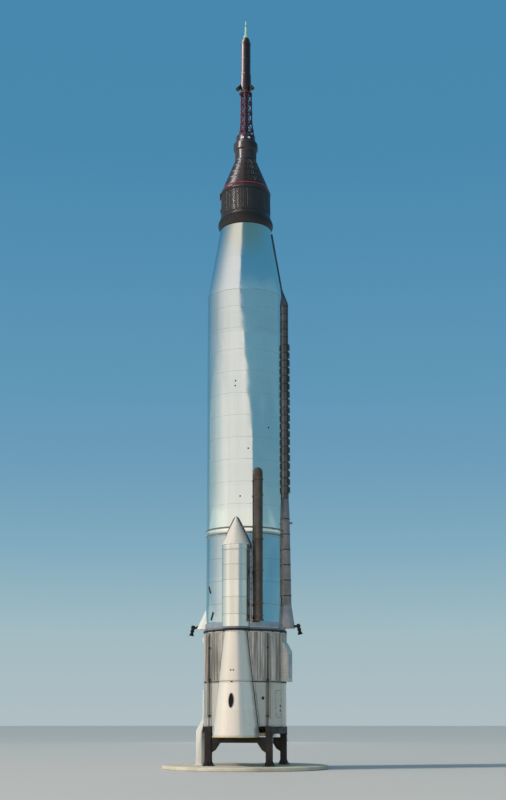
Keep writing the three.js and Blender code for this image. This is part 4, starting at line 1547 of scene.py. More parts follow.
@dataclass(frozen=True)
class NacelleShape:
    """The half-round cone of a lower nacelle, drawn at the front."""

    centre: float = 1.62
    rim_radius: float = 0.85
    top_radius: float = 0.41
    wall: float = 0.03

    def radius(self, level: float) -> float:
        """The radius of the rounded front at a level."""
        share = (level - LEVEL.rim) / (LEVEL.skirt_top - LEVEL.rim)
        return self.rim_radius + (self.top_radius - self.rim_radius) * share

    def back(self, level: float) -> float:
        """How far from the axis, along Y, the flanks meet the skirt at a level."""
        return math.sqrt(SKIRT_RADIUS**2 - self.radius(level) ** 2)

    def plan(self, level: float, inset: float = 0.0, flank: int = 5, arc: int = 44) -> list[Point]:
        """The outline from the left flank's back end round the front to the right flank's back end.

        Args:
            level: Where it is cut.
            inset: How far it is drawn inside the outer face.
            flank: How many points a flank has, with its front one.
            arc: How many pieces make the rounded front.

        Returns:
            The outline's points.
        """
        radius = self.radius(level) - inset
        left = [(-radius, -y, level) for y in spread(self.back(level), self.centre, flank)[:-1]]
        front = []
        for i in range(arc + 1):
            angle = math.pi * i / arc
            front.append((-radius * math.cos(angle), -self.centre - radius * math.sin(angle), level))
        return [*left, *front, *[(-x, y, z) for x, y, z in reversed(left)]]

    def wall_plan(self, level: float, outer: float, inner: float) -> list[Point]:
        """The closed outline of a wall between two insets at a level."""
        return [*self.plan(level, outer), *reversed(self.plan(level, inner))]

    def site(self, angle: float, level: float) -> Site:
        """A point of the rounded front, with its outward direction.

        Args:
            angle: Where it lies, from straight ahead.
            level: How high it lies.

        Returns:
            The point and the direction.
        """
        radius = self.radius(level)
        slope = (self.rim_radius - self.top_radius) / (LEVEL.skirt_top - LEVEL.rim)
        out = Vector((math.sin(angle), -math.cos(angle), slope)).normalized()
        return Vector((radius * math.sin(angle), -self.centre - radius * math.cos(angle), level)), out

    def junction_angle(self, level: float) -> float:
        """The angle from the front at which a flank meets the skirt at a level."""
        return math.asin(self.radius(level) / SKIRT_RADIUS)

    def clears(self, angle: float, margin: float) -> float:
        """The lowest level at which a skirt rib stands clear of the flank.

        Args:
            angle: Where the rib stands.
            margin: How far it stays away.

        Returns:
            The level.
        """
        wanted = SKIRT_RADIUS * math.sin(angle) - margin
        share = (wanted - self.rim_radius) / (self.top_radius - self.rim_radius)
        return LEVEL.rim + share * (LEVEL.skirt_top - LEVEL.rim)


SHAPE = NacelleShape()


@dataclass
class Skirt:
    """The booster skirt: plain lower walls with doors and straps, and a ribbed upper wall."""

    wall: float = 0.04
    rows: int = 14
    columns: int = 96
    rib_pitch: float = 3.75
    rib_radius: float = 0.026
    strip: tuple[float, float, float] = (0.03, 0.008, 0.02)
    strap_turns: tuple[float, ...] = (-0.62, -0.3, 0.3, 0.62)
    door_turn: float = 0.42
    door_half: float = 0.12
    door_levels: Pair = (1.95, 2.95)
    marks: tuple[Pair, ...] = ((70, 2.38), (70, 2.2))
    ports: tuple[Pair, ...] = ((37.8, 2.66), (217.8, 2.66))

    def build(self) -> None:
        """Makes the walls, the ribs, the straps, the doors and the seams."""
        for side, middle in zip(("right", "left"), SKIRT_SIDES):
            wall = self.walled(middle, LEVEL.skirt_rim, LEVEL.seam - GROOVE)
            wall.finished(f"skirt_wall_{side}", Finishes.SKIRT, f"skirt_side_{side}")
        upper = Form()
        for middle in SKIRT_SIDES:
            upper.add(self.walled(middle, LEVEL.seam + GROOVE, LEVEL.skirt_top))
        upper.finished("skirt_upper_wall", Finishes.RIBBED, "skirt_upper")
        cover = [(-1.69, 4.85), (-1.605, 4.7), (-1.55, 4.7), (-1.55, 5.03), (-1.69, 5.03)]
        Form().prism(cover, -0.1, 0.1).finished("latch_cover", Finishes.NACELLE, bevel=0.008)
        self.ribs()
        self.straps()
        self.details()

    def walled(self, middle: float, low: float, high: float) -> Form:
        """A curved wall between the two nacelles.

        Args:
            middle: The angle at its middle.
            low: Its lowest level.
            high: Its highest level.

        Returns:
            The wall.
        """
        rings = []
        for level in spread(low, high, self.rows):
            reach = math.pi / 2 - SHAPE.junction_angle(level) + 0.012
            angles = spread(middle - reach, middle + reach, self.columns)
            outer = [around(angle, SKIRT_RADIUS, level) for angle in angles]
            inner = [around(angle, SKIRT_RADIUS - self.wall, level) for angle in reversed(angles)]
            rings.append([*outer, *inner])
        return Form().rings(rings)

    def ribs(self) -> None:
        """Lays half-round ribs down the upper wall, cut short where they meet a nacelle."""
        paths = []
        foot, top = LEVEL.seam + 0.05, LEVEL.skirt_top - 0.05
        for i in range(round(360 / self.rib_pitch)):
            angle = math.radians(self.rib_pitch * (i + 0.5))
            from_nacelle = min(angle % math.pi, math.pi - angle % math.pi)
            low = max(foot, SHAPE.clears(from_nacelle, 0.075)) if from_nacelle < math.pi / 4 else foot
            if low < top - 0.15:
                paths.append(upright(angle, (SKIRT_RADIUS, SKIRT_RADIUS), (low, top)))
        REPEAT.bars("skirt_ribs", paths, Finishes.RIBBED, self.rib_radius, 10)

    def straps(self) -> None:
        """Lays the edge straps by the seam, the rim band and the upright straps, with their rivets."""
        form = Form()
        rivets: list[Site] = []
        rim, seam, top = LEVEL.skirt_rim, LEVEL.seam, LEVEL.skirt_top
        rows = [(rim + 0.03, 0.06), (seam - 0.035, 0.05), (seam + 0.03, 0.04), (top - 0.025, 0.05)]
        for middle in SKIRT_SIDES:
            for level, width in rows:
                reach = math.pi / 2 - SHAPE.junction_angle(level) - 0.03
                angles = spread(middle - reach, middle + reach, 72)
                form.ribbon(sites_at(angles, SKIRT_RADIUS, [level]), width, 0.005)
                rivets.extend(sites_at(angles, SKIRT_RADIUS + 0.004, [level]))
            for turn in self.strap_turns:
                angle = middle + turn
                levels = spread(rim + 0.06, seam - 0.06, 22)
                form.ribbon(sites_at([angle], SKIRT_RADIUS, levels), 0.06, 0.006)
                rivets.extend(sites_at([angle - 0.012, angle + 0.012], SKIRT_RADIUS + 0.005, levels))
        form.finished("skirt_straps", Finishes.SKIRT)
        REPEAT.set_on("skirt_rivets", Pattern.RIVET, rivets, SMALL_RIVET)

    def door(self, angle: float) -> Form:
        """The raised frame of a door.

        Args:
            angle: Where the door's middle lies.

        Returns:
            The frame.
        """
        half, (low, high) = self.door_half, self.door_levels
        corners = [(-half, low), (half, low), (half, high), (-half, high)]
        path: Profile = []
        for (a0, z0), (a1, z1) in zip(corners, corners[1:] + corners[:1]):
            path.extend((angle + a0 + (a1 - a0) * t, z0 + (z1 - z0) * t) for t in shares(9)[:-1])
        return Form().ribbon([site_at(a, SKIRT_RADIUS, z) for a, z in path], 0.022, 0.005, loop=True)

    def details(self) -> None:
        """Adds the dark seam strip, the doors with their latches, the marks and the ports."""
        deep, proud, half = self.strip
        radius = SKIRT_RADIUS + proud
        strip = Form().hoop((radius - deep, radius), (LEVEL.seam - half, LEVEL.seam + half), 160)
        strip.finished("skirt_seam_strip", Finishes.SHADOW)
        doors = Form()
        latches: list[Site] = []
        levels = spread(self.door_levels[0] + 0.1, self.door_levels[1] - 0.1, 4)
        turn = self.door_turn
        for angle in (math.pi / 2 - turn, math.pi / 2 + turn, turn - math.pi / 2, -math.pi / 2 - turn):
            doors.add(self.door(angle))
            latches.extend(sites_at([angle - 0.09, angle + 0.09], SKIRT_RADIUS, levels))
        doors.finished("skirt_doors", Finishes.SEAM)
        REPEAT.set_on("skirt_latches", Pattern.BOLT, latches, (0.03, 0.01, 0.03))
        marks, ports = (
            [site_at(math.radians(degrees), SKIRT_RADIUS, level) for degrees, level in table]
            for table in (self.marks, self.ports)
        )
        REPEAT.set_on("skirt_marks", Pattern.RIVET, marks, (0.085, 0.012, 0.09), Finishes.HOLE)
        REPEAT.set_on("skirt_ports", Pattern.RIVET, ports, (0.13, 0.016, 0.25), Finishes.HOLE)


@dataclass
class Nacelle(Sided):
    """One booster nacelle: two shells with a rolled lip, an oval opening and junction strips."""

    opening_level: float = 2.56
    opening_half: Pair = (0.09, 0.255)
    lip: float = 0.02
    plugs: tuple[Pair, ...] = ((-0.05, 3.68), (0.05, 3.68), (-0.02, 3.25), (0.02, 3.25))

    def build(self) -> None:
        """Makes both shells and everything on them."""
        lower = self.shell(LEVEL.rim + self.lip, LEVEL.seam - GROOVE, 26).turned(self.turn)
        piece = lower.made(f"nacelle_lower_shell_{self.name}")
        cut_out(piece, self.opening_tool().turned(self.turn))
        dressed(piece, Finishes.NACELLE, nodes=[f"nacelle_lower_{self.name}"])
        middle = self.shell(LEVEL.seam + GROOVE, LEVEL.skirt_top - 0.004, 24)
        self.put(middle, "nacelle_middle_shell", Finishes.NACELLE, "nacelle_middle")
        self.edges()
        self.strips()
        self.fasteners()

    def shell(
        self, low: float, high: float, rows: int, outer: float = 0.0, inner: float = SHAPE.wall
    ) -> Form:
        """The thin wall between two levels and two insets."""
        return Form().rings([SHAPE.wall_plan(level, outer, inner) for level in spread(low, high, rows)])

    def opening_tool(self) -> Form:
        """The oval bar that cuts the opening.

        Returns:
            The bar.
        """
        across, up = self.opening_half
        oval = [(across * math.cos(angle), self.opening_level + up * math.sin(angle)) for angle in turns(40)]
        return Form().rings([[(x, y, z) for x, z in oval] for y in (-1.9, -2.9)])

    def oval(self, grow: float) -> list[Site]:
        """Sites round the opening.

        Args:
            grow: How far outside the opening's edge they lie.

        Returns:
            The sites.
        """
        across, up = (half + grow for half in self.opening_half)
        sites = []
        for angle in turns(48):
            level = self.opening_level + up * math.sin(angle)
            sites.append(SHAPE.site(math.asin(across * math.cos(angle) / SHAPE.radius(level)), level))
        return sites

    def edges(self) -> None:
        """Rolls the bottom lip, frames the opening, closes the seam with a dark strip and sets painted shade
        behind the opening.
        """
        lip = Form().sweep(SHAPE.plan(LEVEL.rim + self.lip), self.lip, 10)
        self.put(lip, "nacelle_lip", Finishes.LIP)
        rim = Form().ribbon(list(reversed(self.oval(0.012))), 0.03, 0.006, loop=True)
        self.put(rim, "nacelle_opening_frame", Finishes.SEAM)
        strip = self.shell(LEVEL.seam - 0.012, LEVEL.seam + 0.012, 2, 0.005, 0.024)
        self.put(strip, "nacelle_seam_strip", Finishes.SHADOW)
        # A near-black shell just inside the oval opening: painted shade in the nacelle's hollow.
        self.put(self.shell(2.1, 3.1, 6, 0.05, 0.06), "nacelle_liner", Finishes.HOLE)

    def strips(self) -> None:
        """Lays the junction strips where the flanks meet the skirt, and the straps round the front."""
        junction = Form()
        crease_shade = Form()
        for side in BOTH_SIDES:
            sites = []
            corners = []
            for level in spread(LEVEL.skirt_rim, LEVEL.skirt_top - 0.02, 30):
                angle = SHAPE.junction_angle(level) + 0.032
                sites.append(site_at(side * angle, SKIRT_RADIUS, level))
                corners.append((side * (SHAPE.radius(level) + 0.006), -SHAPE.back(level) - 0.006, level))
            junction.ribbon(sites, 0.085, 0.006)
            # A thin near-black bar along the corner where the flank meets the skirt: painted shade in the
            # crease.
            crease_shade.sweep(corners, 0.016, 8)
        self.put(junction, "nacelle_junction", Finishes.SEAM)
        self.put(crease_shade, "nacelle_seal", Finishes.SHADOW)
        straps = Form()
        for level, width in self.strap_rows():
            straps.ribbon([SHAPE.site(angle, level) for angle in spread(-1.54, 1.54, 40)], width, 0.004)
        self.put(straps, "nacelle_straps", Finishes.NACELLE)

    def strap_rows(self) -> list[Pair]:
        """The level and the width of each strap round the front."""
        rim, seam, top = LEVEL.rim, LEVEL.seam, LEVEL.skirt_top
        return [(rim + 0.075, 0.05), (seam - 0.035, 0.05), (seam + 0.035, 0.05), (top - 0.03, 0.045)]

    def fasteners(self) -> None:
        """Sets the rivets along the straps, the junctions and the opening, and the few dark plugs."""
        sites = []
        for level, _ in self.strap_rows():
            sites.extend(SHAPE.site(angle, level) for angle in spread(-1.52, 1.52, 40))
        sites.extend(self.oval(0.012)[::2])
        for side in BOTH_SIDES:
            for level in spread(LEVEL.skirt_rim + 0.04, LEVEL.skirt_top - 0.05, 56):
                angle = side * (SHAPE.junction_angle(level) + 0.04)
                sites.append(site_at(angle, SKIRT_RADIUS + 0.004, level))
        self.stud("nacelle_rivets", Pattern.RIVET, raised(sites, 0.003), SMALL_RIVET)
        plugs = [SHAPE.site(x / SHAPE.radius(z), z) for x, z in self.plugs]
        self.stud("nacelle_plugs", Pattern.RIVET, plugs, (0.06, 0.03, 0.07), Finishes.HOLE)


@dataclass
class UpperNacelle(Sided):
    """The half-cylinder above the ring with its collar and its half-cone."""

    centre: float = 1.55
    radius: float = 0.53
    collar: float = 8.19
    cone: float = 8.42
    tip: float = 9.55
    proud: float = 0.008
    slimming: float = 1.04
    seams: tuple[float, ...] = (5.77, 6.42, 7.06, 7.64)
    flange: Pair = (0.07, 0.012)

    def angle_at(self, radius: float) -> float:
        """The angle from straight ahead at which an outline of a radius meets the tank.

        Args:
            radius: The outline's radius.

        Returns:
            The angle.
        """
        reach = TANK_RADIUS - 0.006
        cosine = (reach**2 - self.centre**2 - radius**2) / (2 * radius * self.centre)
        return math.acos(max(-1.0, min(1.0, cosine)))

    def cone_radius(self, share: float, least: float = 0.03) -> float:
        """The half-cone's radius at a share of its height."""
        return max(least, (self.radius + self.proud) * (1 - share**self.slimming))

    def lofted(self, profile: Profile) -> Form:
        """A body, open towards the tank, through rows of a radius and a level.

        Args:
            profile: The rows, from the bottom up.

        Returns:
            The body.
        """
        rings = []
        for radius, level in profile:
            limit = min(self.angle_at(radius), math.pi * 0.97)
            rings.append([
                (radius * math.sin(angle), -self.centre - radius * math.cos(angle), level)
                for angle in spread(-limit, limit, 56)
            ])
        return Form().rings(rings)

    def build(self) -> None:
        """Makes the body, the cap, the flanges and the bands."""
        levels = spread(LEVEL.fuel_tank + 0.002, self.collar - 0.012, 12)
        profile = [(self.radius, level) for level in levels]
        wide = self.radius + self.proud
        profile += [(wide, self.collar), (wide, self.cone - 0.01)]
        self.put(self.lofted(profile), "nacelle_upper_body", Finishes.NACELLE_TOP, "nacelle_upper")
        cap = [(wide, self.cone - 0.012)]
        for share in shares(16)[:-1]:
            cap.append((self.cone_radius(share), self.cone + (self.tip - self.cone) * share))
        self.put(self.lofted([*cap, (0.012, self.tip)]), "nacelle_upper_cap", Finishes.CONE)
        bolts, rivets = self.flanges(), self.bands()
        self.stud("flange_bolts", Pattern.BOLT, bolts, (0.028, 0.014, 0.03), Finishes.SHADOW)
        self.stud("band_rivets", Pattern.RIVET, rivets, (0.014, 0.005, 0.014))

    def edge(self, side: int) -> list[Site]:
        """Sites on the tank along the foot of the nacelle, from the bottom to the tip.

        Args:
            side: Minus one for the left foot, one for the right.

        Returns:
            The sites.
        """
        sites = []
        for level in spread(LEVEL.fuel_tank + 0.24, self.tip - 0.06, 40):
            share = max(0.0, (level - self.cone) / (self.tip - self.cone))
            radius = self.cone_radius(share)
            angle = self.angle_at(radius)
            x, y = radius * math.sin(angle), -self.centre - radius * math.cos(angle)
            sites.append(site_at(side * (math.atan2(x, -y) + 0.02), TANK_RADIUS, level))
        return sites

    def flanges(self) -> list[Site]:
        """Lays the foot flanges on the tank.

        Returns:
            Where their bolts go.
        """
        bolts: list[Site] = []
        low = Form()
        high = Form()
        for side in BOTH_SIDES:
            sites = self.edge(side)
            bolts.extend(raised(sites, 0.01))
            split = next(i for i, (point, _) in enumerate(sites) if point.z > self.collar)
            low.ribbon(sites[: split + 1], *self.flange)
            high.ribbon(sites[split:], *self.flange)
        self.put(low, "nacelle_flanges", Finishes.PLATE)
        # The flanges along the half-cone are dark tunnel paint while those below are pale: painted shade
        # along the cap's edges.
        self.put(high, "nacelle_cap_flanges", Finishes.TUNNEL)
        return bolts[::2]

    def bands(self) -> list[Site]:
        """Lays the seam bands on the body.

        Returns:
            Where their rivets go.
        """
        bands = Form()
        rivets: list[Site] = []
        for level in (*self.seams, self.collar + 0.02, self.cone - 0.03):
            radius = self.radius + (self.proud if level > self.collar else 0.0)
            middle = Vector((0, -self.centre, level))
            sites = [(middle + outward(angle) * radius, outward(angle)) for angle in spread(-1.6, 1.6, 44)]
            bands.ribbon(sites, 0.016, 0.002)
            rivets.extend(raised(sites[::2], 0.003))
        self.put(bands, "nacelle_bands", Finishes.WELD)
        return rivets


# Tanks and what is fixed to them


@dataclass
class Tanks:
    """The separation ring, the two tanks, the pair of stiffening rings and the taper, with their seams."""

    steps: int = 256
    seam_pitch: float = 0.87
    seam: Pair = (0.012, 0.0018)
    base_high: float = 0.2
    rim_high: float = 0.06
    rim_proud: float = 0.028
    dark_high: float = 0.075
    bulkhead: tuple[Pair, ...] = (
        (0.0, 4.3), (0.32, 4.3), (0.77, 4.55), (1.2, 4.86), (1.5, 5.11), (1.5, 5.17), (0.0, 5.17)
    )
    ports: tuple[Pair, ...] = ((-1.6, 14.84), (-2.1, 14.65), (17.0, 12.17), (5.4, 10.31), (48.7, 13.05))
    slots: tuple[tuple[float, ...], ...] = (
        (-50.2, 6.79, -0.15, 0.26), (-42.7, 5.77, 0.15, 0.3), (77.8, 6.37, 0.0, 0.34)
    )

    def build(self) -> None:
        """Makes the tanks from the ring upwards."""
        self.ring()
        self.studs()
        foot, pair, oxidizer, taper = LEVEL.fuel_tank, LEVEL.ring_pair, LEVEL.oxidizer, LEVEL.taper
        radius, proud, high = TANK_RADIUS, TANK_RADIUS + self.rim_proud, self.rim_high
        fuel = [(0.0, foot), (BASE_RADIUS, foot), (BASE_RADIUS, foot + self.base_high)]
        fuel += [(radius, foot + self.base_high + 0.015), (radius, pair), (0.0, pair)]
        self.skin("fuel_tank_skin", fuel, (0.006, 2), "fuel_tank")
        rings = [(0.0, pair), (proud, pair), (proud, pair + high), (radius, pair + high + 0.006)]
        rings += [(radius, oxidizer - high - 0.006), (proud, oxidizer - high)]
        rings += [(proud, oxidizer), (0.0, oxidizer)]
        self.skin("ring_pair", rings, (0.006, 2), "stiffening_rings")
        rims = (pair + high / 2, oxidizer - pair - high, 2)
        REPEAT.hoops("ring_pair_rims", rims, (proud, proud), Finishes.RING_STEEL, 0.054)
        plate = (foot + self.base_high / 2, 0.1, 1)
        REPEAT.hoops("base_band_plate", plate, (BASE_RADIUS, BASE_RADIUS), Finishes.PLATE, 0.17)
        tank = [(0.0, oxidizer), (radius, oxidizer), (radius, taper), (0.0, taper)]
        self.skin("oxidizer_tank_skin", tank, (0.004, 1), "oxidizer_tank")
        cone = [(0.0, taper), (radius, taper), (TAPER_TOP_RADIUS, LEVEL.adapter), (0.0, LEVEL.adapter)]
        self.skin("taper_skin", cone, (0.012, 2), "tank_taper", Finishes.TAPER)
        self.skin("aft_bulkhead_dome", list(self.bulkhead), (0.15, 6), "aft_bulkhead")
        pitch = self.seam_pitch
        for name, levels, finish, size in (
            ("fuel_tank_seams", (foot + 0.9, pitch, 4), Finishes.WELD_DARK, self.seam),
            ("oxidizer_tank_seams", (oxidizer + pitch, pitch, 10), Finishes.WELD, self.seam),
            ("taper_joint", (taper, 0.1, 1), Finishes.WELD, (0.02, 0.003)),
        ):
            REPEAT.hoops(name, levels, (radius, radius), finish, *size)
        self.marks()

    def skin(
        self, name: str, profile: Profile, soft: Soft, node: str, finish: Finishes = Finishes.TANK
    ) -> None:
        """Turns a profile with softened corners into a piece that stands for a CAD node."""
        lathed(name, softened(profile, *soft), finish, self.steps, node)

    def ring(self) -> None:
        """Makes the separation ring: a dark band below a pale collar, with a lobe over each nacelle."""
        low, high = LEVEL.skirt_top, LEVEL.fuel_tank
        split = low + self.dark_high
        dark = [(1.45, low), (1.575, low), (1.605, low + 0.02)]
        dark += [(1.605, split - 0.01), (1.59, split), (1.45, split)]
        pale = [(1.45, split), (1.588, split), (1.575, high - 0.012), (1.56, high), (1.45, high)]
        band, collar = (
            Form().lathe(softened(rows, 0.006, 2, True), 192, loop=True) for rows in (dark, pale)
        )
        dark = [(low, 0.45), (low + 0.012, 0.5), (low + 0.03, 0.522), (split - 0.008, 0.525), (split, 0.517)]
        pale = [(split, 0.512), (high - 0.03, 0.512), (high - 0.004, 0.505), (high, 0.495)]
        for _, turn in FRONT_AND_REAR:
            band.add(self.lobe(dark).turned(turn))
            collar.add(self.lobe(pale).turned(turn))
        band.finished("separation_ring_band", Finishes.SHADOW, "separation_ring")
        collar.finished("separation_ring_collar", Finishes.COLLAR)

    def lobe(self, rows: Sequence[Pair]) -> Form:
        """The part of the ring that carries the front nacelle.

        Args:
            rows: Its levels, each with the radius of its round front.

        Returns:
            The lobe.
        """
        rings = []
        for level, radius in rows:
            front = []
            for share in shares(33):
                angle = math.pi * share
                front.append((-radius * math.cos(angle), -1.585 - radius * math.sin(angle), level))
            rings.append([(-radius, -1.0, level), *front, (radius, -1.0, level)])
        return Form().rings(rings)

    def studs(self) -> None:
        """Sets the ring's latches and bolts, and the rivets of the tank's base band and the ring pair."""
        low, high = LEVEL.skirt_top, LEVEL.fuel_tank
        clips = [(*site, UP) for site in sites_at(turns(20), 1.6, [low + 0.01])]
        REPEAT.set_on("ring_latches", Pattern.CLIP, clips, (0.05, 0.02, 0.07), Finishes.SHADOW)
        bolts = sites_at(turns(60), 1.604, [low + 0.06])
        REPEAT.set_on("ring_bolts", Pattern.BOLT, bolts, (0.026, 0.012, 0.03))
        rivets = sites_at(turns(140), BASE_RADIUS, [high + 0.04, high + 0.16])
        REPEAT.set_on("base_band_rivets", Pattern.RIVET, rivets, SMALL_RIVET)
        for level in (LEVEL.ring_pair + 0.03, LEVEL.oxidizer - 0.03):
            heads = sites_at(turns(120), TANK_RADIUS + 0.027, [level])
            REPEAT.set_on(f"ring_pair_rivets_{level:.2f}", Pattern.RIVET, heads, SMALL_RIVET)

    def marks(self) -> None:
        """Adds the small ports and slots that break the plain skin."""
        ports = [site_at(math.radians(degrees), TANK_RADIUS, level) for degrees, level in self.ports]
        REPEAT.set_on("tank_ports", Pattern.RIVET, ports, (0.07, 0.01, 0.07), Finishes.HOLE)
        slots = Form()
        collars = Form()
        for degrees, level, lean, length in self.slots:
            middle = math.radians(degrees)
            sites = []
            for share in (-0.5, 0.5):
                angle = middle + lean * share / TANK_RADIUS
                sites.append((around(angle, TANK_RADIUS, level + length * share), outward(middle)))
            collars.ribbon(sites, 0.14, 0.006)
            slots.ribbon(sites, 0.095, 0.014)
        collars.finished("slot_collars", Finishes.SEAM)
        slots.finished("tank_slots", Finishes.HOLE)


@dataclass(frozen=True)
class FairingRow:
    """One outline of a fairing on the +X side: its level, its half-width and its reach from the axis."""

    level: float
    half: float
    outer: float


@dataclass
class Fairings:
    """The pod and the cable tunnel on the right, the fairing below them and the vernier fairings."""

    back: float = 0.9
    arc: int = 14
    pod: tuple[FairingRow, ...] = (
        FairingRow(6.23, 0.16, 1.825), FairingRow(9.73, 0.16, 1.765), FairingRow(10.4, 0.095, 1.735)
    )
    port: tuple[float, float, float, float] = (1.7, 1.875, 9.44, 0.045)
    tunnel: tuple[FairingRow, ...] = (
        FairingRow(10.4, 0.095, 1.735), FairingRow(18.3, 0.095, 1.735),
        FairingRow(18.9, 0.09, 1.51), FairingRow(21.25, 0.08, 1.115),
    )
    vernier_right: tuple[FairingRow, ...] = (FairingRow(5.34, 0.3, 1.96), FairingRow(6.23, 0.16, 1.825))
    vernier_left: tuple[FairingRow, ...] = (FairingRow(5.34, 0.3, 1.95), FairingRow(6.2, 0.06, 1.535))
    cover_half: float = 0.42
    cover_corner: float = 0.04
    cover_rows: tuple[Pair, ...] = ((3.3, 1.775), (4.47, 1.775), (4.8, 1.6))
    edge_strips: tuple[tuple[float, ...], ...] = (
        (0.125, 6.3, 10.1, 12, 0.06), (0.085, 10.4, 18.5, 20, 0.05)
    )
    side_plates: tuple[tuple[float, ...], ...] = ((0.16, 6.35, 9.65, 1.58), (0.095, 10.45, 18.2, 1.56))

    def loft(self, rows: Sequence[FairingRow]) -> Form:
        """A round-fronted fairing through its rows.

        Args:
            rows: The rows, from the bottom up.

        Returns:
            The fairing.
        """
        rings = []
        for row in rows:
            ring: list[Point] = [(self.back, -row.half, row.level)]
            for i in range(self.arc + 1):
                angle = -math.pi / 2 + math.pi * i / self.arc
                x = row.outer - row.half + row.half * math.cos(angle)
                ring.append((x, row.half * math.sin(angle), row.level))
            rings.append([*ring, (self.back, row.half, row.level)])
        return Form().rings(rings)

    def build(self) -> None:
        """Makes the fairings and what is on them."""
        start, end, level, radius = self.port
        pod = self.loft(self.pod).sweep([(start, 0, level), (end, 0, level)], radius, 16)
        pod.finished("pod_shell", Finishes.POD, "equipment_pod", bevel=0.01)
        self.loft(self.tunnel).finished("tunnel_shell", Finishes.TUNNEL, "cable_tunnel", bevel=0.01)
        self.side_cover()
        self.clamps()
        self.edges()
        for name, turn, rows, finish in (
            ("right", 0.0, self.vernier_right, Finishes.FAIRING),
            ("left", math.pi, self.vernier_left, Finishes.WHITE),
        ):
            shell = self.loft(rows).turned(turn)
            shell.finished(f"vernier_fairing_shell_{name}", finish, f"vernier_fairing_{name}", bevel=0.008)
            Vernier(name, turn).build()

    def side_cover(self) -> None:
        """Makes the wide flat cover at the foot of the upper skirt, with its panel and its bolts."""
        half, corner, back = self.cover_half, self.cover_corner, 1.3
        rings = []
        for level, reach in self.cover_rows:
            plan = [(back, -half), (reach - corner, -half), (reach, corner - half)]
            plan += [(reach, half - corner), (reach - corner, half), (back, half)]
            rings.append([(x, y, level) for x, y in plan])
        shell = Form().rings(rings)
        shell.finished("side_cover_shell", Finishes.COVER, "booster_side_fairing", bevel=0.012, cuts=3)
        panel = Form().block((1.77, -0.3, 3.42), (1.783, 0.3, 4.36))
        panel.finished("side_cover_panel", Finishes.FAIRING, bevel=0.006)
        left, right = Vector((0, -1, 0)), Vector((0, 1, 0))
        rows = [(1.6, -half, left), (1.72, -half, left), (1.775, -0.35, RIGHT), (1.775, 0.35, RIGHT)]
        rows += [(1.6, half, right), (1.72, half, right)]
        sites = [(Vector((x, y, level)), out) for level in spread(3.36, 4.42, 9) for x, y, out in rows]
        REPEAT.set_on("side_cover_bolts", Pattern.BOLT, sites, (0.02, 0.01, 0.02))

    def clamps(self) -> None:
        """Sets the dark covers up the tunnel, and the clamps across the tunnel and the pod."""
        sites = [(Vector((1.735, 0, level)), RIGHT, UP) for level in spread(10.75, 16.5, 19)]
        REPEAT.set_on("tunnel_covers", Pattern.CLIP, sites, (0.17, 0.05, 0.22), Finishes.POD_DARK)
        clamps = Form()
        for level in spread(10.59, 18.19, 25):
            clamps.ribbon(self.section(0.097, 1.738, level), 0.03, 0.008)
        for level in spread(6.6, 9.6, 6):
            clamps.ribbon(self.section(0.162, 1.828 - 0.06 * ((level - 6.23) / 3.5), level), 0.04, 0.008)
        clamps.finished("pod_clamps", Finishes.POD_DARK)

    def edges(self) -> None:
        """Lays the strips along the feet of the pod and the tunnel, and the plates on their flanks."""
        strips = Form()
        plates = Form()
        for side in BOTH_SIDES:
            for turn, low, high, count, width in self.edge_strips:
                levels = spread(low, high, count)
                strips.ribbon(sites_at([math.pi / 2 + side * turn], TANK_RADIUS, levels), width, 0.008)
            for half, low, high, reach in self.side_plates:
                near, far = sorted((side * half, side * (half + 0.006)))
                plates.block((1.5, near, low), (reach, far, high))
        strips.finished("pod_edge_strips", Finishes.SEAM)
        plates.finished("pod_side_plates", Finishes.TRIM, bevel=0.002, cuts=1)

    def section(self, half: float, outer: float, level: float) -> list[Site]:
        """Points across a fairing from one flank to the other, with their outward directions.

        Args:
            half: The half-width.
            outer: The reach from the axis.
            level: The level.

        Returns:
            The sites.
        """
        foot = TANK_RADIUS + 0.01
        result = [(Vector((foot, -half, level)), Vector((0, -1, 0)))]
        for share in shares(9):
            angle = -math.pi / 2 + math.pi * share
            c, s = math.cos(angle), math.sin(angle)
            result.append((Vector((outer - half + half * c, half * s, level)), Vector((c, s, 0))))
        return [*result, (Vector((foot, half, level)), Vector((0, 1, 0)))]


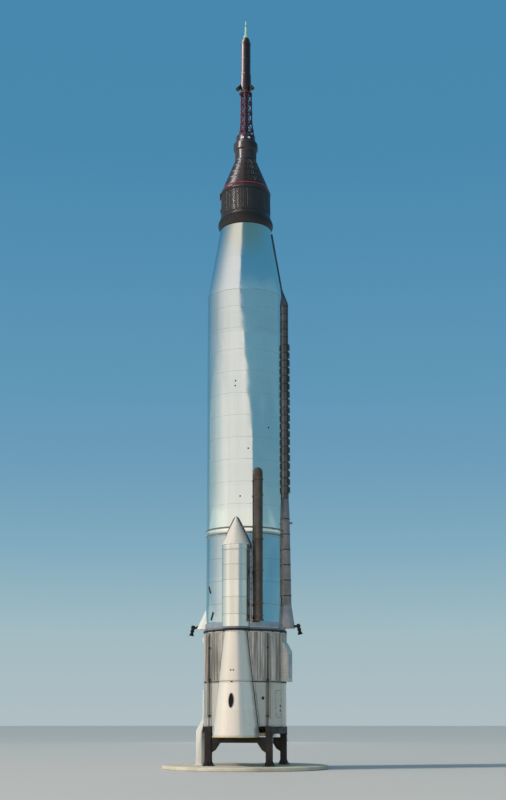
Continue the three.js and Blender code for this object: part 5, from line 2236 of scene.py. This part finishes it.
@dataclass
class Vernier(Sided):
    """A vernier engine: its arm and shaft on the airframe, and the engine that swivels on them."""

    x: float = 2.1
    level: float = 5.42
    cant: float = math.radians(-12)
    head: tuple[Pair, ...] = (
        (0.0235, -0.07), (0.075, -0.07), (0.08, -0.05), (0.08, 0.035), (0.072, 0.052), (0.0235, 0.052)
    )
    bell: tuple[Pair, ...] = (
        (0.0, -0.19), (0.045, -0.19), (0.046, -0.2), (0.066, -0.24), (0.086, -0.285), (0.1, -0.32),
        (0.092, -0.32), (0.076, -0.282), (0.056, -0.24), (0.036, -0.205), (0.0, -0.203),
    )
    chamber: tuple[Pair, ...] = (
        (0.0, -0.21), (0.05, -0.2), (0.075, -0.16), (0.075, -0.095),
        (0.062, -0.083), (0.041, -0.08), (0.041, -0.045), (0.0, -0.045),
    )
    hoops: tuple[Pair, ...] = ((-0.295, 0.092), (-0.26, 0.078), (-0.225, 0.062))
    feed: tuple[Point, ...] = ((1.72, 0.09, 0.1), (1.86, 0.08, 0.08), (1.95, 0.05, 0.03), (1.99, 0.03, 0.0))
    lines: tuple[Point, ...] = ((-0.01, 0.088, -0.04), (0.0, 0.095, -0.1), (0.0, 0.07, -0.17))

    def build(self) -> None:
        """Makes the arm and the engine."""
        x, level = self.x, self.level
        arm = Form().sweep([(1.78, 0, level), (x - 0.09, 0, level)], 0.062, 20, [1.0, 0.045 / 0.062])
        arm.sweep([(x - 0.12, 0, level), (x + 0.06, 0, level)], 0.022, 16)
        arm.sweep([(x + 0.058, 0, level), (x + 0.075, 0, level)], 0.038, 6)
        feed = [(reach, y, level + rise) for reach, y, rise in self.feed]
        self.put(arm.sweep(feed, 0.011, 8), "vernier_arm", Finishes.VERNIER)
        engine = Form().lathe(softened(list(self.head), 0.004, 2), 28, loop=True)
        engine.moved(lambda p: Vector((x + p.z, p.x, level + p.y)))
        engine.add(self.nozzle())
        for side in BOTH_SIDES:
            y = side * 0.088
            engine.block((x - 0.045, y - 0.014, level - 0.06), (x + 0.04, y + 0.014, level + 0.07))
        engine.block((x - 0.05, -0.05, level + 0.07), (x + 0.045, 0.05, level + 0.09))
        name = f"vernier_nozzle_{self.name}"
        form = engine.turned(self.turn)
        form.finished(name, Finishes.VERNIER, f"vernier_engine_{self.name}", body=f"vernier_{self.name}")

    def nozzle(self) -> Form:
        """The canted bell with its chamber, its hoops and its two feed lines.

        Returns:
            The nozzle, where it stands on the right.
        """
        nozzle = Form().lathe(list(self.bell), 48)
        nozzle.lathe(softened(list(self.chamber), 0.008, 2), 40)
        for height, radius in self.hoops:
            nozzle.hoop((radius - 0.006, radius + 0.007), (height, height + 0.01), 48)
        for side in BOTH_SIDES:
            nozzle.sweep([(x, side * y, z) for x, y, z in self.lines], 0.011, 8)
        cant = Matrix.Rotation(self.cant, 3, "Y")
        return nozzle.moved(lambda p: cant @ p).shifted((self.x, 0, self.level))


@dataclass
class OxygenPipe:
    """The dark pipe up the front right, with its flanged bands, brackets and elbow."""

    angle: float = math.radians(29.7)
    centre: float = 1.735
    radius: float = 0.16
    elbow: float = 11.19
    bend: float = 0.15
    squash: float = 0.45
    bands: tuple[float, ...] = (5.7, 6.16, 7.41, 8.6, 10.3, 10.9)
    band_high: float = 0.06
    band_radii: Pair = (0.158, 0.18)
    bolt_radius: float = 0.17

    def build(self) -> None:
        """Makes the pipe, its bands and their bolts."""
        low = LEVEL.fuel_tank + 0.23
        path: list[Point] = [(0, -self.centre, z) for z in spread(low, self.elbow, 20)]
        for i in range(1, 9):
            turn = math.pi / 2 * i / 8
            y = -self.centre + self.bend * (1 - math.cos(turn))
            path.append((0, y, self.elbow + self.bend * math.sin(turn) * self.squash))
        path.append((0, -TANK_RADIUS + 0.06, self.elbow + self.bend * self.squash))
        pipe = Form().sweep(path, self.radius, 40)
        pipe.turned(self.angle).finished("oxygen_pipe_run", Finishes.PIPE, "oxygen_pipe")
        bands, brackets = self.fixings()
        foot = [(0.158, low), (0.2, low), (0.2, low + 0.03), (0.175, low + 0.06), (0.158, low + 0.06)]
        bands.lathe(foot, 40, (0.0, -self.centre), loop=True)
        bands.turned(self.angle).finished("oxygen_pipe_bands", Finishes.BAND)
        brackets.turned(self.angle).finished("oxygen_pipe_brackets", Finishes.PIPE, bevel=0.005)
        sites = []
        for level in self.bands:
            middle = Vector((0, -self.centre, level + self.band_high))
            ring = [middle + outward(turn) * self.bolt_radius for turn in turns(12)]
            sites.extend((spun(point, self.angle), UP) for point in ring)
        REPEAT.set_on("oxygen_pipe_bolts", Pattern.BOLT, sites, (0.02, 0.016, 0.02))

    def fixings(self) -> tuple[Form, Form]:
        """The double bands round the pipe, and the brackets that hold them to the tank.

        Returns:
            The bands and the brackets, drawn at the front.
        """
        bands = Form()
        brackets = Form()
        tank = -TANK_RADIUS + 0.03
        for level in self.bands:
            top, high = level + self.band_high, self.band_high * 0.42
            for start in (level, level + self.band_high * 0.58):
                bands.hoop(self.band_radii, (start, start + high), 40, (0.003, 1), (0.0, -self.centre))
            brackets.block((-0.06, -self.centre + 0.1, level + 0.006), (0.06, tank, top - 0.006))
            brackets.block((-0.1, -TANK_RADIUS - 0.022, level - 0.05), (0.1, tank, top + 0.05))
        return bands, brackets


# Engines


@dataclass
class Engines:
    """The three gimballed engines, their blocks, and the frame and mount that carry them."""

    places: tuple[tuple[str, float, str], ...] = (
        ("front", -1.62, "booster_engine_front"), ("centre", 0.0, "sustainer_engine"),
        ("rear", 1.62, "booster_engine_rear"),
    )
    exit: Pair = (0.54, 1.33)
    throat: Pair = (0.13, 2.52)
    flare: float = 1.35
    wall: float = 0.018
    pivot: float = 3.2
    tubes: int = 72
    tube_high: float = 0.0035
    hoops: tuple[tuple[float, float, float], ...] = (
        (1.335, 0.016, 0.03), (1.5, 0.01, 0.02), (1.66, 0.01, 0.02),
        (1.83, 0.01, 0.02), (2.0, 0.012, 0.02), (2.2, 0.012, 0.02),
    )
    chamber: tuple[Pair, ...] = (
        (0.0, 2.5), (0.128, 2.5), (0.135, 2.56), (0.19, 2.68), (0.19, 2.9),
        (0.21, 2.91), (0.21, 2.95), (0.16, 3.0), (0.06, 3.04), (0.0, 3.04),
    )
    manifold: tuple[float, float, float] = (0.34, 2.06, 0.028)
    ear: tuple[float, float, float] = (0.05, 0.093, 0.137)
    feed_turns: tuple[float, ...] = (0.6, 2.2, 3.9, 5.3)
    feed: tuple[Pair, ...] = ((0.15, 2.93), (0.24, 2.8), (0.29, 2.5), (0.335, 2.09))
    pump: tuple[Pair, ...] = (
        (0.0, 0.0), (0.07, 0.0), (0.085, 0.02), (0.085, 0.16), (0.06, 0.19), (0.06, 0.3), (0.0, 0.31)
    )
    pump_place: Pair = (0.27, 2.52)
    pump_line: tuple[Pair, ...] = ((0.27, 2.83), (0.26, 2.92), (0.2, 2.96), (0.1, 2.97))

    def build(self) -> None:
        """Makes the frame, the mount, the blocks and the engines."""
        refined("thrust_frame", "thrust_beams", 0.008, Finishes.DARK_STEEL)
        refined("sustainer_mount", "sustainer_cone", 0.006, Finishes.DARK_STEEL)
        for name, y, node in self.places:
            refined(f"gimbal_block_{name}", f"gimbal_cross_{name}", 0.005, Finishes.BRASS, f"gimbal_{name}")
            self.engine(name, y, node)

    def radius(self, share: float) -> float:
        """The bell's outer radius at a share of its height."""
        return self.exit[0] + (self.throat[0] - self.exit[0]) * share**self.flare

    def tubing(self, angle: float, radius: float) -> float:
        """How far the bell's coolant tubes stand out."""
        fade = min(1.0, radius / 0.3)
        return self.tube_high * fade * abs(math.sin(angle * self.tubes / 2))

    def engine(self, name: str, y: float, node: str) -> None:
        """Makes one engine on its own body.

        Args:
            name: Which engine it is.
            y: Where its axis stands.
            node: The CAD node that it takes the place of.
        """
        body = f"engine_{name}"
        high = self.throat[1] - self.exit[1]
        outer = [(self.radius(share), self.exit[1] + high * share) for share in shares(22)]
        inner = [(radius - self.wall, level) for radius, level in reversed(outer)]
        shell = Form().lathe([*outer, *inner], self.tubes * 6, (0.0, y), True, self.tubing)
        shell.finished(f"engine_bell_{name}", Finishes.ENGINE, node, body=body)
        trim = Form()
        for level, proud, wide in self.hoops:
            radius = self.radius((level - self.exit[1]) / high)
            trim.hoop((radius - 0.01, radius + proud), (level, level + wide), 72, (0.004, 1), (0.0, y))
        trim.lathe(softened(list(self.chamber), 0.012, 2), 48, (0.0, y))
        reach, level, thick = self.manifold
        ring = [(reach + thick * math.cos(a), level + thick * math.sin(a)) for a in turns(12)]
        trim.lathe(ring, 64, (0.0, y), loop=True)
        trim.finished(f"engine_chamber_{name}", Finishes.BRASS, body=body)
        self.fittings(y).finished(f"engine_fittings_{name}", Finishes.BRASS, body=body, bevel=0.003, cuts=1)
        bolts = [(Vector((0.2 * math.sin(a), y - 0.2 * math.cos(a), 2.95)), UP) for a in turns(20)]
        REPEAT.set_on(f"engine_bolts_{name}", Pattern.BOLT, bolts, (0.016, 0.012, 0.02), body=body)

    def fittings(self, y: float) -> Form:
        """The ears of the gimbal, the feed lines and the pump of one engine.

        Args:
            y: Where the engine's axis stands.

        Returns:
            The fittings.
        """
        form = Form()
        half, near, far = self.ear
        for low in (y - far, y + near):
            form.block((-half, low, 2.99), (half, low + far - near, self.pivot + 0.055))
        for turn in self.feed_turns:
            c, s = math.cos(turn), math.sin(turn)
            form.sweep([(reach * c, y + reach * s, level) for reach, level in self.feed], 0.016, 10)
        reach, foot = self.pump_place
        form.add(Form().lathe(softened(list(self.pump), 0.01, 2), 28).shifted((reach, y, foot)))
        return form.sweep([(x, y, level) for x, level in self.pump_line], 0.03, 12)


# Spacecraft and escape tower


@dataclass
class Spacecraft:
    """The adapter, the capsule's cone with its red ring, the recovery section and the antenna canister."""

    steps: int = 160
    neck: float = 0.43
    lip: float = 0.015
    shoulder: float = 0.925
    adapter_radius: float = 0.995
    beads: int = 72
    shingles: int = 60
    shingle_rows: tuple[Pair, ...] = ((0.2, 0.44), (0.5, 0.72), (0.78, 1.02), (1.07, 1.26))
    laps: tuple[tuple[str, float], ...] = (("foot", 0.47), ("low", 0.75), ("high", 1.045))
    blister_turn: float = math.radians(-77)
    blisters: tuple[tuple[float, ...], ...] = ((22.82, 23.04, 0.13, 1.05), (22.25, 22.4, 0.08, 1.03))
    pad_angles: tuple[float, ...] = (-4, 32, 116, 236)

    def build(self) -> None:
        """Makes the spacecraft from the flange upwards."""
        steps = self.steps
        base, cone, wide = LEVEL.adapter, LEVEL.capsule, self.adapter_radius
        flange = [(0.0, base), (1.045, base), (1.1, base + 0.15), (1.1, base + 0.3), (1.03, base + 0.47)]
        flange.append((0.0, base + 0.47))
        lathed("adapter_flange", softened(flange, 0.03, 4), Finishes.FLANGE, steps, "adapter")
        adapter = [(0.0, base + 0.46), (1.034, base + 0.46), (wide, base + 0.58)]
        adapter += [(wide - 0.008, cone - 0.12), (wide + 0.02, cone - 0.11), (wide + 0.02, cone - 0.04)]
        adapter += [(wide - 0.015, cone), (0.0, cone)]
        lathed("adapter_shell", softened(adapter, 0.02, 4), Finishes.ADAPTER, steps)
        top, neck, canister = LEVEL.recovery, self.neck, LEVEL.canister
        capsule = [(0.0, cone), (0.945, cone), (0.945, cone + 0.058), (0.915, cone + 0.068)]
        capsule += [(0.915, cone + 0.12), (self.shoulder, cone + 0.13), (neck + self.lip, top - 0.04)]
        capsule += [(neck + self.lip, top), (0.0, top)]
        lathed("capsule_shell", softened(capsule, 0.006, 2), Finishes.CAPSULE, steps, "capsule")
        band = Form().hoop((0.9, 0.94), (cone + 0.07, cone + 0.118), steps, (0.008, 3))
        band.finished("capsule_red_ring", Finishes.RING, "capsule_ring")
        recovery = [(0.0, top), (neck, top), (neck, top + 0.38), (0.495, top + 0.45), (0.495, top + 0.72)]
        recovery += [(0.45, canister), (0.0, canister)]
        lathed("recovery_shell", softened(recovery, 0.03, 4), Finishes.CAPSULE, steps, "recovery_section")
        drum = [(0.0, canister), (0.412, canister), (0.38, LEVEL.tower), (0.0, LEVEL.tower)]
        lathed("canister_shell", softened(drum, 0.02, 4), Finishes.CAPSULE, steps, "antenna_canister")
        self.ribs()
        self.fittings()

    def cone_radius(self, level: float) -> float:
        """The radius of the capsule's cone.

        Args:
            level: Where it is measured.

        Returns:
            The radius.
        """
        foot = LEVEL.capsule + 0.13
        steep = (self.neck + self.lip - self.shoulder) / (LEVEL.recovery - 0.04 - foot)
        return self.shoulder + steep * (level - foot)

    def ribs(self) -> None:
        """Lays the beads of the adapter, the cone's shingles and the recovery section."""
        base, cone, wide = LEVEL.adapter, LEVEL.capsule, self.adapter_radius
        radii, levels = (wide - 0.003, wide - 0.011), (base + 0.64, cone - 0.16)
        beads = [upright(angle, radii, levels) for angle in turns(self.beads, 0.5)]
        REPEAT.bars("adapter_beads", beads, Finishes.ADAPTER, 0.011, 8)
        shingles = []
        for row in self.shingle_rows:
            low, high = (cone + rise for rise in row)
            radii = (self.cone_radius(low), self.cone_radius(high))
            shingles.extend(upright(angle, radii, (low, high)) for angle in turns(self.shingles, 0.5))
        REPEAT.bars("cone_beads", shingles, Finishes.CAPSULE, 0.006, 6)
        for name, rise in self.laps:
            radii = (self.cone_radius(cone + rise),) * 2
            REPEAT.hoops(f"cone_lap_{name}", (cone + rise, 0.1, 1), radii, Finishes.CAPSULE, 0.03, 0.006)
        levels = (LEVEL.recovery + 0.05, LEVEL.recovery + 0.34)
        neck = [upright(angle, (self.neck, self.neck), levels) for angle in turns(40, 0.5)]
        REPEAT.bars("neck_beads", neck, Finishes.CAPSULE, 0.006, 6)
        radii = (wide + 0.001, wide - 0.005)
        REPEAT.hoops("adapter_hoops", (base + 0.6, 0.9, 2), radii, Finishes.ADAPTER, 0.05, 0.008)

    def fittings(self) -> None:
        """Adds the adapter's blisters, the flange bolts and the pale fittings at the tower's foot."""
        form = Form()
        for low, high, half, reach in self.blisters:
            form.block((-half, -reach, low), (half, -0.9, high))
        form.turned(self.blister_turn).finished("adapter_blisters", Finishes.ADAPTER, bevel=0.02, cuts=3)
        bolts = sites_at(turns(72), 1.1, [LEVEL.adapter + 0.18, LEVEL.adapter + 0.27])
        REPEAT.set_on("adapter_bolts", Pattern.BOLT, bolts, (0.022, 0.01, 0.02), Finishes.ADAPTER)
        pads = [(*site, UP) for site in sites_at(map(math.radians, self.pad_angles), 0.395, [25.33])]
        REPEAT.set_on("canister_fittings", Pattern.CLIP, pads, (0.09, 0.03, 0.07), Finishes.WHITE)


@dataclass
class EscapeTower:
    """The lattice tower, the escape motor with its three splayed nozzles, the nose and its spike."""

    legs: int = 3
    turn: float = math.radians(3)
    base_radius: float = 0.366
    waist_radius: float = 0.262
    waist: float = 0.36
    top_radius: float = 0.235
    leg: float = 0.03
    brace: float = 0.021
    bays: tuple[float, ...] = (0.0, 0.18, 0.36, 0.57, 0.79, 1.0)
    bundle: tuple[int, float, float] = (7, 0.075, 0.033)
    casing: float = 0.195
    flanges: tuple[Pair, ...] = ((0.13, 0.012), (0.72, 0.008), (1.4, 0.006))
    nozzle_turn: float = math.radians(63)
    throat: Pair = (0.17, 27.79)
    exit: Pair = (0.365, 27.52)

    def corner(self, index: int, share: float) -> Point:
        """A point on a leg.

        Args:
            index: Which leg.
            share: The share of the tower's height.

        Returns:
            The point.
        """
        angle = self.turn + math.tau / self.legs * index
        if share < self.waist:
            radius = self.base_radius + (self.waist_radius - self.base_radius) * share / self.waist
        else:
            above = (share - self.waist) / (1 - self.waist)
            radius = self.waist_radius + (self.top_radius - self.waist_radius) * above
        low, high = LEVEL.tower + 0.02, LEVEL.motor - 0.02
        return tuple(around(angle, radius, low + (high - low) * share))

    def build(self) -> None:
        """Makes the tower, the motor and the nose."""
        self.lattice()
        self.tubes()
        self.motor()
        self.nozzles()
        self.nose()

    def lattice(self) -> None:
        """Welds the end rings, the legs and the braces."""
        rings = Form()
        ends = [(self.base_radius + 0.018, LEVEL.tower), (self.top_radius + 0.03, LEVEL.motor - 0.04)]
        for radius, low in ends:
            plate = [(0.0, low), (radius, low), (radius, low + 0.04), (0.0, low + 0.04)]
            rings.lathe(softened(plate, 0.006, 2), 64)
        rings.finished("tower_rings", Finishes.TOWER, "escape_tower")
        legs = [[self.corner(i, share) for share in (0.0, self.waist, 1.0)] for i in range(self.legs)]
        REPEAT.bars("tower_legs", legs, Finishes.TOWER, self.leg, 14)
        braces = []
        joints = []
        for i in range(self.legs):
            for start, end in zip(self.bays, self.bays[1:]):
                braces.append([self.corner(i, start), self.corner(i + 1, end)])
                braces.append([self.corner(i + 1, start), self.corner(i, end)])
                if start:
                    braces.append([self.corner(i, start), self.corner(i + 1, start)])
            facing = outward(self.turn + math.tau / self.legs * i)
            joints.extend((Vector(self.corner(i, share)), facing, UP) for share in self.bays)
        REPEAT.bars("tower_braces", braces, Finishes.TOWER, self.brace, 10)
        REPEAT.set_on("tower_gussets", Pattern.CLIP, joints, (0.06, 0.03, 0.12), Finishes.TOWER)

    def tubes(self) -> None:
        """Runs the bundle of small tubes up the middle, with its clamps."""
        low, high = LEVEL.tower, LEVEL.motor
        count, reach, radius = self.bundle
        bundle = [upright(angle + 0.3, (reach, reach), (low + 0.02, high - 0.02)) for angle in turns(count)]
        REPEAT.bars("tower_bundle", bundle, Finishes.TOWER, radius, 12)
        for share in self.bays[1:-1]:
            levels = (low + (high - low) * share, 0.1, 1)
            REPEAT.hoops(f"bundle_clamp_{share:.2f}", levels, (0.106, 0.106), Finishes.NOSE, 0.04, 0.008)

    def motor(self) -> None:
        """Makes the casing with its sleeve, its flanges and their bolts."""
        low, high, radius = LEVEL.motor, LEVEL.nose, self.casing
        casing = [(0.0, low), (0.17, low), (radius, low + 0.12), (radius, high), (0.0, high)]
        lathed("motor_casing", softened(casing, 0.02, 3), Finishes.MOTOR, 72, "escape_motor")
        sleeve = [(radius - 0.02, low + 0.16), (radius + 0.024, low + 0.18)]
        sleeve += [(radius + 0.018, low + 0.8), (radius - 0.02, low + 0.86)]
        collar = Form().lathe(softened(sleeve, 0.01, 2, True), 72, loop=True)
        collar.finished("motor_sleeve", Finishes.MOTOR)
        flanges = Form()
        rows = [*((low + rise, proud) for rise, proud in self.flanges), (high - 0.05, 0.01)]
        for level, proud in rows:
            flanges.hoop((radius - 0.01, radius + proud), (level, level + 0.035), 72, (0.004, 1))
        flanges.finished("motor_flanges", Finishes.NOSE)
        bolts = sites_at(turns(18), radius + 0.008, [low + 0.148, high - 0.033])
        REPEAT.set_on("motor_bolts", Pattern.BOLT, bolts, (0.018, 0.01, 0.02))

    def nozzles(self) -> None:
        """Makes the three hollow nozzles with their pale linings."""
        bells = Form()
        linings = Form()
        for i in range(self.legs):
            angle = self.nozzle_turn + math.tau / self.legs * i
            start = around(angle, *self.throat)
            along = around(angle, *self.exit) - start
            far = along.length
            facing = along.to_track_quat("Z", "Y").to_matrix()
            bell = [(0.0, -0.03), (0.045, -0.03), (0.045, 0.03), (0.052, 0.09), (0.07, 0.2), (0.088, far)]
            bell += [(0.08, far), (0.0, far - 0.002)]
            cup = [(0.0, 0.1), (0.046, 0.11), (0.066, 0.2), (0.0815, far + 0.001), (0.078, far + 0.001)]
            cup += [(0.06, 0.2), (0.04, 0.12), (0.0, 0.112)]
            for form, profile in ((bells, bell), (linings, cup)):
                form.add(Form().lathe(profile, 36).moved(lambda p: start + facing @ p))
        bells.finished("escape_nozzles", Finishes.MOTOR)
        linings.finished("escape_nozzle_linings", Finishes.CREAM)

    def nose(self) -> None:
        """Makes the dark nose cone and the pale spike."""
        low, tip = LEVEL.nose, LEVEL.tip
        split = low + 0.24
        cone = [(0.0, low), (self.casing, low), (0.175, low + 0.12), (0.126, split), (0.0, split)]
        lathed("nose_cone", softened(cone, 0.02, 3), Finishes.NOSE, 64, "nose_spike")
        spike = [(0.0, split - 0.01), (0.124, split), (0.095, low + 0.33), (0.048, low + 0.43)]
        spike += [(0.036, low + 0.8), (0.02, tip - 0.03), (0.0, tip)]
        lathed("nose_probe", softened(spike, 0.03, 4), Finishes.PALE, 48)
        Form().hoop((0.02, 0.042), (low + 0.78, low + 0.81), 40).finished("probe_collar", Finishes.BRASS)


def main() -> None:
    """Builds everything, in the order in which the rocket stands up."""
    studio = Studio()
    studio.build()
    Plinth().build()
    Stand().build()
    Skirt().build()
    for name, turn in FRONT_AND_REAR:
        Nacelle(name, turn).build()
        UpperNacelle(name, turn).build()
    Tanks().build()
    Fairings().build()
    OxygenPipe().build()
    Engines().build()
    Spacecraft().build()
    EscapeTower().build()
    studio.glint()


if __name__ == "__main__":
    logging.basicConfig(level=logging.INFO, format="%(message)s")
    main()
